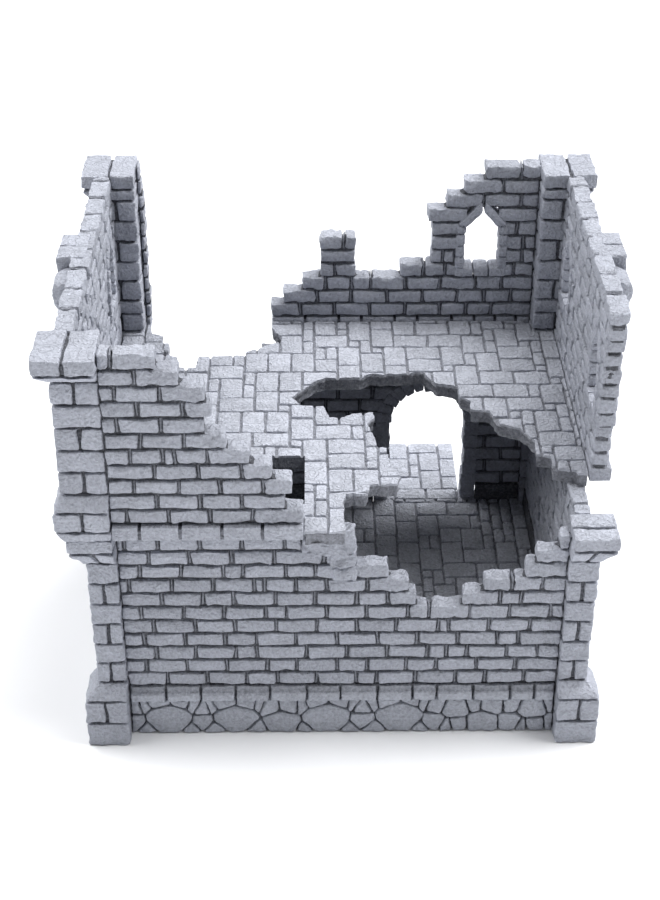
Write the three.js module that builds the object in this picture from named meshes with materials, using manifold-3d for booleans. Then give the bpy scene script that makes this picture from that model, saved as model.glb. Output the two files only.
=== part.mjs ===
// A two-storey ruined stone building for tabletop games, about 160 x 147 x 134 mm.
// The ground storey is one print and the upper storey another: the upper one rests on
// the lower one and lifts straight off, so that figures can be placed inside.
// Millimetres. +X is to the right, +Y to the back, +Z up. The origin is on the underside,
// in the middle of the four corner piers.
import * as THREE from "three";
import { mergeVertices } from "three/addons/utils/BufferGeometryUtils.js";
import Module from "manifold-3d";

const wasm = await Module();
wasm.setup();

const gap = 0.3; // clearance between neighbouring stones
const jointGap = 0.3; // clearance between the two storeys

// Plan: the building is deeper in X than in Y by a constant, at every level.
const planDifference = 15.6;
const pierInnerX = 62.7;
const pierInnerY = pierInnerX - planDifference;

// Ground storey levels and wall planes.
const groundFloorTop = 12.5;
const rubbleTop = 13.2;
const stringTop = 18.3;
const groundTop = 75.4;
const groundCourse = 4.92;
const groundWallOuterX = 69.1;
const groundWallInnerX = 64.2;
const groundWallOuterY = groundWallOuterX - planDifference;
const groundWallInnerY = groundWallInnerX - planDifference;
const rubbleOuter = 0.6; // how far the rubble band stands out from the wall above it
const stringOuter = 1.5;

// Doorway in the back wall of the ground storey, and the paved landing behind it.
const doorCentreX = 30.15;
const doorRadius = 12.85;
const doorSpringing = 44;
const doorFrame = 4.6;
const doorProud = 0.7; // how far the arch stands out from both faces of its wall
const landingLeft = 18.6;
const landingRight = 42.2;
const landingBack = 83.5;

// Upper storey levels and wall planes.
const slabBottom = groundTop + jointGap;
const slabTop = 80;
const ledgeBottom = 76.8;
const ledgeTop = 81.2;
const upperTop = 134.4;
const upperWallFoot = ledgeTop + gap;
const upperCourse = (upperTop - upperWallFoot) / 11;
const upperWallOuterX = 75.1;
const upperWallInnerX = 69.7;
const upperWallOuterY = 60;
const upperWallInnerY = 54;
const ledgeOuter = 1;

// Lancet windows: half width of the light, height of its straight sides, and its rise.
const lancetHalf = 5.3;
const lancetSill = 99.2;
const lancetSpringing = 111;
const lancetApex = 118.7;
const lancetFrame = 3.1;
const lancetFrameApex = 3.7; // the frame is a little thicker over the point
const frameProud = 0.6; // how far a frame stands out from its wall's faces
const backLancetX = 45.5;
const sideLancets = { front: -24.5, rear: 31.5 };

// Pilasters in the middle of the upper side walls, with a curved bracket stone beside each.
const pilasterFront = -6.7;
const pilasterBack = 8;
const pilasterShaftOuter = 77.4;
const pilasterCapOuter = 79.3;
const pilasterCapBottom = 128.8;
const pilasterCapOverhang = 1.2;
const bracketFront = -17;
const bracketBottom = 119.5;
const bracketTop = 131.5;
const bracketOuter = 80.2;

// Pier profiles: pairs of height and outer X, from the bottom up.
const groundPierBase = [
  [0, 75],
  [16.9, 75],
  [21.3, 71.2],
];
const groundPierShaft = [
  [21.3 + gap, 71.2],
  [64.9 - gap, 71.2],
];
const groundPierCapital = [
  [64.9, 71.4],
  [71, 75.2],
  [groundTop, 75.2],
];
const upperPierBase = [
  [slabBottom, 75.2],
  [80.1, 77.7],
  [86.4, 77.7],
  [91, 75.4],
];
const upperPierShaft = [
  [91 + gap, 75.4],
  [125.9 - gap, 75.4],
];
const upperPierCapital = [
  [125.9, 75.6],
  [130.1, 79.1],
  [upperTop, 79.1],
];

const ruin = new THREE.Group();

const stoneFinish = { color: 0xa9abb3, roughness: 0.78, metalness: 0 };
const wallFinish = { color: 0x9c9ea7, roughness: 0.82, metalness: 0 };
const rubbleFinish = { color: 0x94969f, roughness: 0.84, metalness: 0 };
const pavingFinish = { color: 0xb4b6bd, roughness: 0.8, metalness: 0 };

function merge(geometry) {
  geometry.deleteAttribute("normal");
  geometry.deleteAttribute("uv");
  return mergeVertices(geometry, 1e-3);
}

function add(name, geometry, finish) {
  const merged = merge(geometry);
  merged.computeVertexNormals();
  const mesh = new THREE.Mesh(merged, new THREE.MeshStandardMaterial(finish));
  mesh.name = name;
  ruin.add(mesh);
}

function solid(geometry) {
  const merged = merge(geometry);
  return new wasm.Manifold(
    new wasm.Mesh({
      numProp: 3,
      vertProperties: merged.attributes.position.array,
      triVerts: new Uint32Array(merged.index.array),
    }),
  );
}

// The first geometry with each of the others cut out of it.
function cut(geometry, tools) {
  const left = tools.reduce((body, tool) => body.subtract(solid(tool)), solid(geometry));
  const mesh = left.getMesh();
  const result = new THREE.BufferGeometry();
  result.setAttribute("position", new THREE.BufferAttribute(mesh.vertProperties, 3));
  result.setIndex(new THREE.BufferAttribute(mesh.triVerts, 1));
  return result;
}

function extrude(points, depth) {
  const shape = new THREE.Shape(points.map(([u, v]) => new THREE.Vector2(u, v)));
  return new THREE.ExtrudeGeometry(shape, { depth, bevelEnabled: false });
}

// An outline in X and Z, given its thickness in Y.
function blockAlongX(outline, front, back) {
  const geometry = extrude(outline, back - front);
  geometry.rotateX(Math.PI / 2);
  geometry.translate(0, back, 0);
  return geometry;
}

// An outline in Y and Z, given its thickness in X.
function blockAlongY(outline, left, right) {
  const geometry = extrude(outline, right - left);
  geometry.rotateZ(Math.PI / 2);
  geometry.rotateY(Math.PI / 2);
  geometry.translate(left, 0, 0);
  return geometry;
}

function raised(outline, bottom, top) {
  const geometry = extrude(outline, top - bottom);
  geometry.translate(0, 0, bottom);
  return geometry;
}

// A flat piece drawn in plan and raised from one level to another, with its openings cut out.
function level(name, finish, outline, bottom, top, openings = []) {
  const body = raised(outline, bottom, top);
  const tools = openings.map((opening) => raised(opening, bottom - 1, top + 1));
  add(name, tools.length > 0 ? cut(body, tools) : body, finish);
}

// Walls drawn in elevation; each opening is an outline cut right through.
function wallAlongX(name, finish, outline, front, back, openings = []) {
  const tools = openings.map((opening) => blockAlongX(opening, front - 1, back + 1));
  add(name, cut(blockAlongX(outline, front, back), tools), finish);
}

function wallAlongY(name, finish, outline, left, right, openings = []) {
  const tools = openings.map((opening) => blockAlongY(opening, left - 1, right + 1));
  add(name, cut(blockAlongY(outline, left, right), tools), finish);
}

function rectangle(u0, v0, u1, v1) {
  return [
    [u0, v0],
    [u1, v0],
    [u1, v1],
    [u0, v1],
  ];
}

// A pointed arch over straight sides, as an outline that goes round once. Each half of the
// arch is an arc centred on the springing line.
function lancet(centre, sill, half, springing, apex) {
  const rise = apex - springing;
  const radius = (half * half + rise * rise) / (2 * half);
  const sweep = Math.asin(rise / radius);
  const parts = 5;
  const right = [];
  for (let i = 0; i < parts; i += 1) {
    const angle = (sweep * i) / parts;
    const reach = half - radius + radius * Math.cos(angle);
    right.push([centre + reach, springing + radius * Math.sin(angle)]);
  }
  const left = right.map(([u, v]) => [2 * centre - u, v]).reverse();
  return [[centre - half, sill], [centre + half, sill], ...right, [centre, apex], ...left];
}

// The outline of stepped courses: the end of each course in turn, from the lowest up.
function steps(ends, bottom, course) {
  const outline = [];
  ends.forEach((end, row) => {
    outline.push([end, bottom + row * course]);
    outline.push([end, bottom + (row + 1) * course]);
  });
  return outline;
}

// A corner pier: square in plan, its inner faces fixed, its outer faces moving in and out.
function pier(name, sideX, sideY, levels) {
  const corners = levels.map(([height, outerX]) => {
    const outerY = outerX - planDifference;
    const square = [
      [sideX * pierInnerX, sideY * pierInnerY],
      [sideX * outerX, sideY * pierInnerY],
      [sideX * outerX, sideY * outerY],
      [sideX * pierInnerX, sideY * outerY],
    ];
    if (sideX * sideY < 0) square.reverse();
    return square.map(([x, y]) => [x, y, height]);
  });
  const positions = corners.flat(2);
  const index = [];
  const last = 4 * (levels.length - 1);
  index.push(0, 2, 1, 0, 3, 2);
  index.push(last, last + 1, last + 2, last, last + 2, last + 3);
  for (let ring = 0; ring < last; ring += 4) {
    for (let k = 0; k < 4; k += 1) {
      const a = ring + k;
      const b = ring + ((k + 1) % 4);
      index.push(a, b, b + 4, a, b + 4, a + 4);
    }
  }
  const geometry = new THREE.BufferGeometry();
  geometry.setAttribute("position", new THREE.Float32BufferAttribute(positions, 3));
  geometry.setIndex(index);
  add(name, geometry, stoneFinish);
}

const sides = { left: -1, right: 1 };
const ends = { front: -1, back: 1 };

// The ground storey.

// The floor fills the storey between its walls, with its corners cut round the piers.
const floorX = groundWallInnerX - gap;
const floorY = groundWallInnerY - gap;
const cornerX = pierInnerX - gap;
const cornerY = pierInnerY - gap;
level(
  "ground_floor",
  pavingFinish,
  [
    [-cornerX, -floorY],
    [cornerX, -floorY],
    [cornerX, -cornerY],
    [floorX, -cornerY],
    [floorX, cornerY],
    [cornerX, cornerY],
    [cornerX, floorY],
    [-cornerX, floorY],
    [-cornerX, cornerY],
    [-floorX, cornerY],
    [-floorX, -cornerY],
    [-cornerX, -cornerY],
  ],
  0,
  groundFloorTop,
);

for (const [sideName, sideX] of Object.entries(sides)) {
  for (const [endName, sideY] of Object.entries(ends)) {
    const place = `${endName}_${sideName}`;
    pier(`ground_pier_base_${place}`, sideX, sideY, groundPierBase);
    pier(`ground_pier_shaft_${place}`, sideX, sideY, groundPierShaft);
    pier(`ground_pier_capital_${place}`, sideX, sideY, groundPierCapital);
  }
}

// The plinth: a rubble band under a string course with a sloping top, drawn in section.
function plinthSection(outer, inner) {
  return [
    [inner, 0],
    [outer + rubbleOuter, 0],
    [outer + rubbleOuter, rubbleTop],
    [outer + stringOuter, rubbleTop + 0.3],
    [outer + stringOuter, rubbleTop + 1.5],
    [outer, stringTop - gap],
    [inner, stringTop - gap],
  ];
}

function plinthAlongX(name, sideY, fromX, toX) {
  const section = plinthSection(groundWallOuterY, groundWallInnerY);
  const outline = section.map(([y, z]) => [sideY * y, z]);
  if (sideY < 0) outline.reverse();
  wallAlongY(name, rubbleFinish, outline, fromX, toX);
}

function plinthAlongY(name, sideX) {
  const section = plinthSection(groundWallOuterX, groundWallInnerX);
  const outline = section.map(([x, z]) => [sideX * x, z]);
  wallAlongX(name, rubbleFinish, outline, -cornerY, cornerY);
}

const doorOuter = doorRadius + doorFrame;
plinthAlongX("plinth_front", -1, -cornerX, cornerX);
plinthAlongX("plinth_back_left", 1, -cornerX, doorCentreX - doorOuter - gap);
plinthAlongX("plinth_back_right", 1, doorCentreX + doorOuter + gap, cornerX);
plinthAlongY("plinth_left", -1);
plinthAlongY("plinth_right", 1);

// The front wall is broken down in a V: the ends of its courses beside the gap, from the
// seventh course up, on the left and on the right.
const gapFoot = stringTop + 6 * groundCourse;
const leftOfGap = [20.5, 18.2, 12.4, 2.9, 2.2];
const rightOfGap = [33.8, 39.5, 51, 53.7, 59.7];
const crestEnd = -3; // the top course ends here
const crest = groundTop - gapFoot - leftOfGap.length * groundCourse;
const leftSteps = steps(leftOfGap, gapFoot, groundCourse);
const rightSteps = steps(rightOfGap, gapFoot, groundCourse);
wallAlongX(
  "ground_wall_front",
  wallFinish,
  [
    [-cornerX, stringTop],
    [cornerX, stringTop],
    [cornerX, groundTop - crest],
    ...rightSteps.reverse(),
    ...leftSteps,
    [crestEnd, groundTop - crest],
    [crestEnd, groundTop],
    [-cornerX, groundTop],
  ],
  -groundWallOuterY,
  -groundWallInnerY,
);

// The back wall has a round-headed doorway, framed by a ring of rough voussoirs and jambs.
function roundHead(radius, foot) {
  const parts = 16;
  const outline = [[doorCentreX - radius, foot]];
  for (let i = 0; i <= parts; i += 1) {
    const angle = Math.PI * (1 - i / parts);
    outline.push([
      doorCentreX + radius * Math.cos(angle),
      doorSpringing + radius * Math.sin(angle),
    ]);
  }
  outline.push([doorCentreX + radius, foot]);
  return outline;
}

// Under the missing corner of the upper floor its top three courses are broken away too.
const breakFoot = stringTop + 9 * groundCourse;
const leftOfBreak = [-53, -55.5, -57.2];
const rightOfBreak = [-40, -25, -19.6];
const breakTop = (outline) => outline.map(([x, z]) => [x, Math.min(z, groundTop)]);
wallAlongX(
  "ground_wall_back",
  wallFinish,
  [
    [-cornerX, stringTop],
    ...roundHead(doorOuter + gap, stringTop),
    [cornerX, stringTop],
    [cornerX, groundTop],
    ...breakTop(steps(rightOfBreak, breakFoot, groundCourse)).reverse(),
    ...breakTop(steps(leftOfBreak, breakFoot, groundCourse)),
    [-cornerX, groundTop],
  ],
  groundWallInnerY,
  groundWallOuterY,
);
const archFoot = groundFloorTop + gap;
wallAlongX(
  "door_arch",
  stoneFinish,
  [...roundHead(doorOuter, archFoot).reverse(), ...roundHead(doorRadius, archFoot)],
  groundWallInnerY - doorProud,
  groundWallOuterY + doorProud,
);
level(
  "door_threshold",
  pavingFinish,
  rectangle(
    doorCentreX - doorOuter,
    groundWallInnerY,
    doorCentreX + doorOuter,
    groundWallOuterY + doorProud,
  ),
  0,
  groundFloorTop,
);
level(
  "landing",
  pavingFinish,
  rectangle(landingLeft, groundWallOuterY + doorProud + gap, landingRight, landingBack),
  0,
  groundFloorTop,
);

for (const [sideName, sideX] of Object.entries(sides)) {
  const faces = [sideX * groundWallInnerX, sideX * groundWallOuterX];
  wallAlongY(
    `ground_wall_${sideName}`,
    wallFinish,
    rectangle(-cornerY, stringTop, cornerY, groundTop),
    Math.min(...faces),
    Math.max(...faces),
  );
}

// The upper storey.

// The floor slab, with a ragged hole over the front right of the ground storey, a slot
// beside the front wall, and its back left edge broken away.
const slabX = upperWallInnerX - gap;
const slabY = upperWallInnerY - gap;
const slotLeft = -20.7;
const slotRight = -10.7;
const slotFront = -47;
const slotBack = -24.4;
const tongueFront = -60.8;
const nearEdgeOfHole = [
  [0.3, tongueFront],
  [-0.2, -47.9],
  [0.6, -43.6],
  [6.8, -43.2],
  [7.4, -39],
  [15.2, -38.5],
  [16.4, -34.6],
  [13.6, -29.7],
  [12.9, -20.8],
  [10.8, -20.4],
  [8.9, -12.1],
  [7.8, -8],
  [10, -4],
  [9.5, -1.3],
  [3.2, -2.4],
  [1, -4.1],
  [-3.5, -4.3],
  [-5.3, 2.2],
  [-11.5, 2.5],
  [-14.9, 6.8],
];
const farEdgeOfHole = [
  [-11.8, 11.4],
  [-7.9, 16.1],
  [-4.4, 18.6],
  [6.1, 18.4],
  [10.1, 21],
  [17.3, 20.3],
  [25.5, 22.2],
  [29.4, 14.9],
  [35.9, 12.6],
  [36.1, 8.1],
  [39.3, 4.7],
  [38.9, 0.1],
  [44.6, -1],
  [46.1, -7.2],
  [52.7, -10.4],
  [56.2, -17.2],
  [55.8, -24.1],
  [59.9, -25.4],
  [59.8, -30.8],
  [66.2, -32.4],
];
const brokenBackLeft = [
  [-21.6, 50],
  [-18, 43.5],
  [-19.1, 40.6],
  [-29.2, 35],
  [-29.7, 32.4],
  [-44.2, 31.6],
  [-44.7, 24.8],
  [-50, 24.9],
  [-52.5, 31.7],
  [-55.7, 33.8],
  [-56.8, 44.4],
  [-60.4, 46.6],
];
const rightEnd = -33.8; // where the broken right wall and its floor end
level(
  "upper_floor",
  pavingFinish,
  [
    [-cornerX, -slabY],
    [slotRight, -slabY],
    [slotRight, tongueFront],
    ...nearEdgeOfHole,
    ...farEdgeOfHole,
    [66.6, rightEnd],
    [slabX, rightEnd],
    [slabX, cornerY],
    [cornerX, cornerY],
    [cornerX, slabY],
    [-21.6, slabY],
    ...brokenBackLeft,
    [-60.9, slabY],
    [-cornerX, slabY],
    [-cornerX, cornerY],
    [-slabX, cornerY],
    [-slabX, -cornerY],
    [-cornerX, -cornerY],
  ],
  slabBottom,
  slabTop,
  [rectangle(slotLeft, slotFront, slotRight, slotBack)],
);

for (const [place, sideX, sideY] of [
  ["front_left", -1, -1],
  ["back_left", -1, 1],
  ["back_right", 1, 1],
]) {
  pier(`upper_pier_base_${place}`, sideX, sideY, upperPierBase);
  pier(`upper_pier_shaft_${place}`, sideX, sideY, upperPierShaft);
  pier(`upper_pier_capital_${place}`, sideX, sideY, upperPierCapital);
}

const stubFoot = -61.2; // the narrow remains of the back wall beside the back left pier

// The ledge under each upper wall stands a little proud of it.
function ledgeAlongX(name, sideY, fromX, toX) {
  const faces = [sideY * upperWallInnerY, sideY * (upperWallOuterY + ledgeOuter)];
  const outline = rectangle(fromX, ledgeBottom, toX, ledgeTop);
  wallAlongX(name, stoneFinish, outline, Math.min(...faces), Math.max(...faces));
}

function ledgeAlongY(name, sideX, fromY, toY) {
  const faces = [sideX * upperWallInnerX, sideX * (upperWallOuterX + ledgeOuter)];
  const outline = rectangle(fromY, ledgeBottom, toY, ledgeTop);
  wallAlongY(name, stoneFinish, outline, Math.min(...faces), Math.max(...faces));
}

ledgeAlongX("ledge_front", -1, -cornerX, slotRight - gap);
ledgeAlongX("ledge_back", 1, -21.6, cornerX);
ledgeAlongX("ledge_back_left", 1, -cornerX, stubFoot);
ledgeAlongY("ledge_left", -1, -cornerY, cornerY);
ledgeAlongY("ledge_right", 1, rightEnd, cornerY);

// The front wall steps down to the right: the end of each course, from the lowest up.
const frontEnds = [-11.1, -16.1, -14, -19.2, -24.8, -30.9, -36.4, -34.6, -36, -42.4, -48];
wallAlongX(
  "upper_wall_front",
  wallFinish,
  [[-cornerX, upperWallFoot], ...steps(frontEnds, upperWallFoot, upperCourse), [-cornerX, upperTop]],
  -upperWallOuterY,
  -upperWallInnerY,
);

// The back wall rises to the right from a low stub, past the jamb of a lost window.
const backEnds = [-21.7, -17.7, -11.5];
const stubTop = 109;
const lowTop = upperWallFoot + 3 * upperCourse;
const sillTop = 100.2;
const jambTop = upperWallFoot + 7 * upperCourse;
const risingEnds = [28.1, 33.9, 39.3, 45.7];
const risingSteps = steps(risingEnds, jambTop, upperCourse);
wallAlongX(
  "upper_wall_back",
  wallFinish,
  [
    [cornerX, upperWallFoot],
    [cornerX, upperTop],
    ...risingSteps.reverse(),
    [29.6, jambTop],
    [29.6, sillTop],
    [19.9, sillTop],
    [19.9, lowTop],
    [5.6, lowTop],
    [5.3, stubTop],
    [-5.8, stubTop],
    [-5.8, lowTop],
    ...steps(backEnds, upperWallFoot, upperCourse).reverse(),
  ].reverse(),
  upperWallInnerY,
  upperWallOuterY,
  [frameOutline(backLancetX, lancetSill, gap)],
);
wallAlongX(
  "upper_wall_back_stub",
  wallFinish,
  [
    [-cornerX, upperWallFoot],
    [stubFoot, upperWallFoot],
    [-60.9, upperTop - 2 * upperCourse],
    [-61.8, upperTop],
    [-cornerX, upperTop],
  ],
  upperWallInnerY,
  upperWallOuterY,
);

// A window frame's outer outline, let into its wall with a clearance when asked for.
function frameOutline(centre, sill, clearance) {
  return lancet(
    centre,
    sill - lancetFrame - clearance,
    lancetHalf + lancetFrame + clearance,
    lancetSpringing,
    lancetApex + lancetFrameApex + clearance,
  );
}

function light(centre, sill) {
  return lancet(centre, sill, lancetHalf, lancetSpringing, lancetApex);
}

wallAlongX(
  "window_frame_back",
  stoneFinish,
  frameOutline(backLancetX, lancetSill, 0),
  upperWallInnerY - frameProud,
  upperWallOuterY + frameProud,
  [light(backLancetX, lancetSill)],
);

for (const [sideName, sideX] of Object.entries(sides)) {
  const faces = [sideX * upperWallInnerX, sideX * upperWallOuterX];
  const [low, high] = [Math.min(...faces), Math.max(...faces)];
  const brokenEnd = [
    [rightEnd, upperWallFoot],
    [rightEnd, upperWallFoot + 3 * upperCourse],
    [-36.4, upperWallFoot + 3.4 * upperCourse],
    [-36.4, upperTop - 2 * upperCourse],
    [-38.8, upperTop - upperCourse],
    [-38.8, upperTop],
  ];
  const wholeEnd = [
    [-cornerY, upperWallFoot],
    [-cornerY, upperTop],
  ];
  const frontEnd = sideX > 0 ? brokenEnd : wholeEnd;
  const holes = Object.values(sideLancets).map((y) => frameOutline(y, lancetSill, gap));
  const outline = [...frontEnd, [cornerY, upperTop], [cornerY, upperWallFoot]].reverse();
  wallAlongY(`upper_wall_${sideName}`, wallFinish, outline, low, high, holes);
  for (const [place, y] of Object.entries(sideLancets)) {
    wallAlongY(
      `window_frame_${sideName}_${place}`,
      stoneFinish,
      frameOutline(y, lancetSill, 0),
      low - frameProud,
      high + frameProud,
      [light(y, lancetSill)],
    );
  }
}

// Pilaster, cap and bracket stand against the outside of each upper side wall.
for (const [sideName, sideX] of Object.entries(sides)) {
  const onWall = (outerX) => {
    const faces = [sideX * (upperWallOuterX + gap), sideX * outerX];
    return [Math.min(...faces), Math.max(...faces)];
  };
  wallAlongY(
    `pilaster_${sideName}`,
    stoneFinish,
    rectangle(
      pilasterFront + pilasterCapOverhang,
      upperWallFoot,
      pilasterBack - pilasterCapOverhang,
      pilasterCapBottom - gap,
    ),
    ...onWall(pilasterShaftOuter),
  );
  wallAlongY(
    `pilaster_cap_${sideName}`,
    stoneFinish,
    rectangle(pilasterFront, pilasterCapBottom, pilasterBack, upperTop),
    ...onWall(pilasterCapOuter),
  );
  const parts = 8;
  const height = bracketTop - bracketBottom;
  const curve = [[upperWallOuterX + gap, bracketTop]];
  for (let i = 0; i <= parts; i += 1) {
    const t = i / parts;
    const swell = Math.sin(Math.PI * Math.min(1, 0.25 + 0.75 * t)) ** 0.7;
    const x = upperWallOuterX + gap + (bracketOuter - upperWallOuterX - gap) * swell;
    curve.push([x, bracketTop - height * t]);
  }
  curve[curve.length - 1][0] = upperWallOuterX + gap + 0.8;
  curve.push([upperWallOuterX + gap, bracketBottom]);
  const outline = curve.map(([x, z]) => [sideX * x, z]);
  wallAlongX(
    `bracket_${sideName}`,
    stoneFinish,
    outline,
    bracketFront,
    pilasterFront - gap,
  );
}

export default ruin;
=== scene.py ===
# A ruined two-storey stone building for tabletop games, printed in grey plastic.
# Every piece stands in the place of its plain solids. Numbers in the dictionaries are
# millimetres; meshes are in metres.
import math
import random
import bpy
import numpy as np
from mathutils import Euler, Matrix, Vector, noise
from mathutils.geometry import tessellate_polygon


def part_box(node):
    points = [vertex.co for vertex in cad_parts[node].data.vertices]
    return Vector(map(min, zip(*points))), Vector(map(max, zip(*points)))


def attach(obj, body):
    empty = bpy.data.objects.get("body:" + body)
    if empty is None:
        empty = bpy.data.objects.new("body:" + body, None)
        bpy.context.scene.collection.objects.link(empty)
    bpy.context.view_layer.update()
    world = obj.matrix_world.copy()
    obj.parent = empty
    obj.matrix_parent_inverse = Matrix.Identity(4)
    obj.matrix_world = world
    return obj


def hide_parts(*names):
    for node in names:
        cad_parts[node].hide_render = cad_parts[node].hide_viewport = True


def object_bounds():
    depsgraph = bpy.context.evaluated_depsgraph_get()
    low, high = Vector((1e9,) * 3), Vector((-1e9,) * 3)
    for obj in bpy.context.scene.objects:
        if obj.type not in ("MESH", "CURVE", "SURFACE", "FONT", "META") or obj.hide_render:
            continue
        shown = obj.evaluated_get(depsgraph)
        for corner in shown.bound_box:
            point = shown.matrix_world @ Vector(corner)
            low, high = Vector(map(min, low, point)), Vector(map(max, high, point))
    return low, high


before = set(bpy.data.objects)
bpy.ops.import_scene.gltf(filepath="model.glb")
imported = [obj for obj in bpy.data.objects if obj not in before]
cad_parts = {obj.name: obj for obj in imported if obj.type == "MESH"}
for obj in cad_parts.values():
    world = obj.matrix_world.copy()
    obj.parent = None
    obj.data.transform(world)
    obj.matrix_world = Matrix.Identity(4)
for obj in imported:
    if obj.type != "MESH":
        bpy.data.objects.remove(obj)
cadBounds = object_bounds()
mm = 0.001
print("frame loaded:", len(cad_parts), "solids")


def nodeBox(node):
    low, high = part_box(node)
    return [v / mm for v in low], [v / mm for v in high]


# finishes

def nodeMaker(tree):
    # makes a node, fills its inputs with links or values, and returns its first output
    def make(kind, inputs=None, output=0, **settings):
        node = tree.nodes.new(kind)
        for key, value in settings.items():
            setattr(node, key, value)
        for key, value in (inputs or {}).items():
            if isinstance(value, bpy.types.NodeSocket):
                tree.links.new(value, node.inputs[key])
            else:
                node.inputs[key].default_value = value
        return node.outputs[output] if len(node.outputs) else node
    return make


def printedStone(name, look):
    # printed plastic: sandy grain, fine layers up the sides, looping tool paths on the tops
    material = bpy.data.materials.new(name)
    material.use_nodes = True
    tree = material.node_tree
    tree.nodes.clear()
    make = nodeMaker(tree)
    place = make("ShaderNodeTexCoord", output=3)
    tone = make("ShaderNodeAttribute", output=2, attribute_name="tone")
    edge = make("ShaderNodeAttribute", output=2, attribute_name="edge")
    # how much painted shade each spot carries in its joints and hollows
    recess = make("ShaderNodeAttribute", output=2, attribute_name="recess")
    normal = make("ShaderNodeNewGeometry", output=1)
    upward = make("ShaderNodeSeparateXYZ", {0: normal}, output=2)

    def noiseAt(size, detail, roughness=0.55, distortion=0.0):
        return make("ShaderNodeTexNoise", {
            "Vector": place, "Scale": 1 / (size * mm), "Detail": detail,
            "Roughness": roughness, "Distortion": distortion})

    def sums(operation, first, second=0.0, clamp=False):
        return make("ShaderNodeMath", {0: first, 1: second}, operation=operation, use_clamp=clamp)

    grain = noiseAt(look["grainSize"], 4.0, 0.62)
    lumps = noiseAt(look["lumpSize"], 3.0)
    clouds = noiseAt(look["cloudSize"], 2.0)
    flatTop = make("ShaderNodeMapRange", {
        "Value": upward, "From Min": 0.6, "From Max": 0.9}, interpolation_type="SMOOTHSTEP")
    loops = sums("PINGPONG", sums("MULTIPLY", noiseAt(look["loopSize"], 1.0), look["loops"]), 0.5)
    ridge = make("ShaderNodeMapRange", {
        "Value": loops, "From Min": 0.0, "From Max": 0.14, "To Min": 1.0, "To Max": 0.0},
        interpolation_type="SMOOTHSTEP")
    layers = make("ShaderNodeTexWave", {
        "Vector": place, "Scale": 0.3142 / (look["layerHeight"] * mm), "Distortion": 0.6,
        "Detail": 1.0, "Detail Scale": 0.02}, output=1, bands_direction="Z")
    layerHeight = sums("MULTIPLY", layers, sums("SUBTRACT", 1.0, flatTop))
    relief = sums("ADD", sums("MULTIPLY", grain, look["grainDepth"]),
                  sums("MULTIPLY", lumps, look["lumpDepth"]))
    relief = sums("ADD", relief, sums("MULTIPLY", layerHeight, look["layerDepth"]))
    relief = sums("ADD", relief, sums("MULTIPLY", sums("MULTIPLY", ridge, flatTop),
                                      look["loopDepth"]))
    bump = make("ShaderNodeBump", {"Height": relief, "Distance": mm, "Strength": 1.0})

    # brightness of each spot: its stone's own tone, worn edges with a painted highlight on the upper
    # ones, painted shade in the joints and hollows, faint clouds
    bright = sums("ADD", 1.0, sums("MULTIPLY", tone, look["toneSpread"]))
    # worn edges, plus a painted highlight that lightens upward-facing edges where the top light catches
    # them
    wearAndHighlight = sums("ADD", look["edgeWear"], sums("MULTIPLY", upward, look["topHighlight"]))
    bright = sums("ADD", bright, sums("MULTIPLY", edge, wearAndHighlight))
    bright = sums("ADD", bright, sums("MULTIPLY", sums("SUBTRACT", clouds, 0.5), look["clouds"]))
    bright = sums("ADD", bright, sums("MULTIPLY", sums("SUBTRACT", grain, 0.5), look["speckle"]))
    # painted shade: joints, hollows and the cores behind the stones are darkened where shadow falls
    bright = sums("SUBTRACT", bright, sums("MULTIPLY", recess, look["paintedShadeStrength"]))
    trace = sums("MULTIPLY", sums("SUBTRACT", ridge, 0.3), flatTop)
    bright = sums("ADD", bright, sums("MULTIPLY", trace, look["loopShade"]))
    low = [c * 0.2 for c in look["colour"]]
    high = [c * 1.4 for c in look["colour"]]
    share = make("ShaderNodeMapRange", {"Value": bright, "From Min": 0.2, "From Max": 1.4})
    colour = mixColours(tree, share, low, high)
    rough = make("ShaderNodeMapRange", {
        "Value": grain, "To Min": look["roughness"] - 0.08, "To Max": look["roughness"] + 0.1})
    shader = make("ShaderNodeBsdfPrincipled", {
        "Base Color": colour, "Roughness": rough, "Normal": bump,
        "Specular IOR Level": look["gloss"]})
    make("ShaderNodeOutputMaterial", {"Surface": shader})
    return material


def mixColours(tree, share, low, high):
    mix = tree.nodes.new("ShaderNodeMix")
    mix.data_type = "RGBA"
    tree.links.new(share, mix.inputs[0])
    mix.inputs[6].default_value = (*low, 1)
    mix.inputs[7].default_value = (*high, 1)
    return mix.outputs[2]


# the lightening of upper edges is a painted highlight, and the darkening of joints and hollows is
# painted shade
plastic = dict(
    colour=(0.385, 0.402, 0.458), roughness=0.78, gloss=0.25, toneSpread=0.06, edgeWear=0.06,
    topHighlight=0.22, paintedShadeStrength=0.72, clouds=0.3, speckle=1.0, cloudSize=9, grainSize=0.85,
    grainDepth=0.8, lumpSize=2.2, lumpDepth=1.2, layerHeight=0.22, layerDepth=0.025,
    loopSize=5.0, loops=9.0, loopDepth=0.3, loopShade=0.2)
finishes = {
    "masonry": printedStone("grey brickwork", plastic),
    "dressed_stone": printedStone("grey dressed stone", plastic | dict(
        colour=(0.39, 0.407, 0.464), lumpSize=3.4, loopSize=6.5)),
    "rubble": printedStone("grey rubble", plastic | dict(
        colour=(0.4, 0.418, 0.472), grainDepth=0.5)),
    "paving": printedStone("grey paving", plastic | dict(
        colour=(0.415, 0.432, 0.488), paintedShadeStrength=0.45, lumpDepth=1.1)),
}
print("finishes made:", ", ".join(finishes))

# one tree lays every brick and whole flagstone

def attribute(make, name, kind="FLOAT_VECTOR"):
    # the socket of the asked type is found by its name among the node's outputs
    return make("GeometryNodeInputNamedAttribute", {"Name": name}, data_type=kind)


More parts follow.
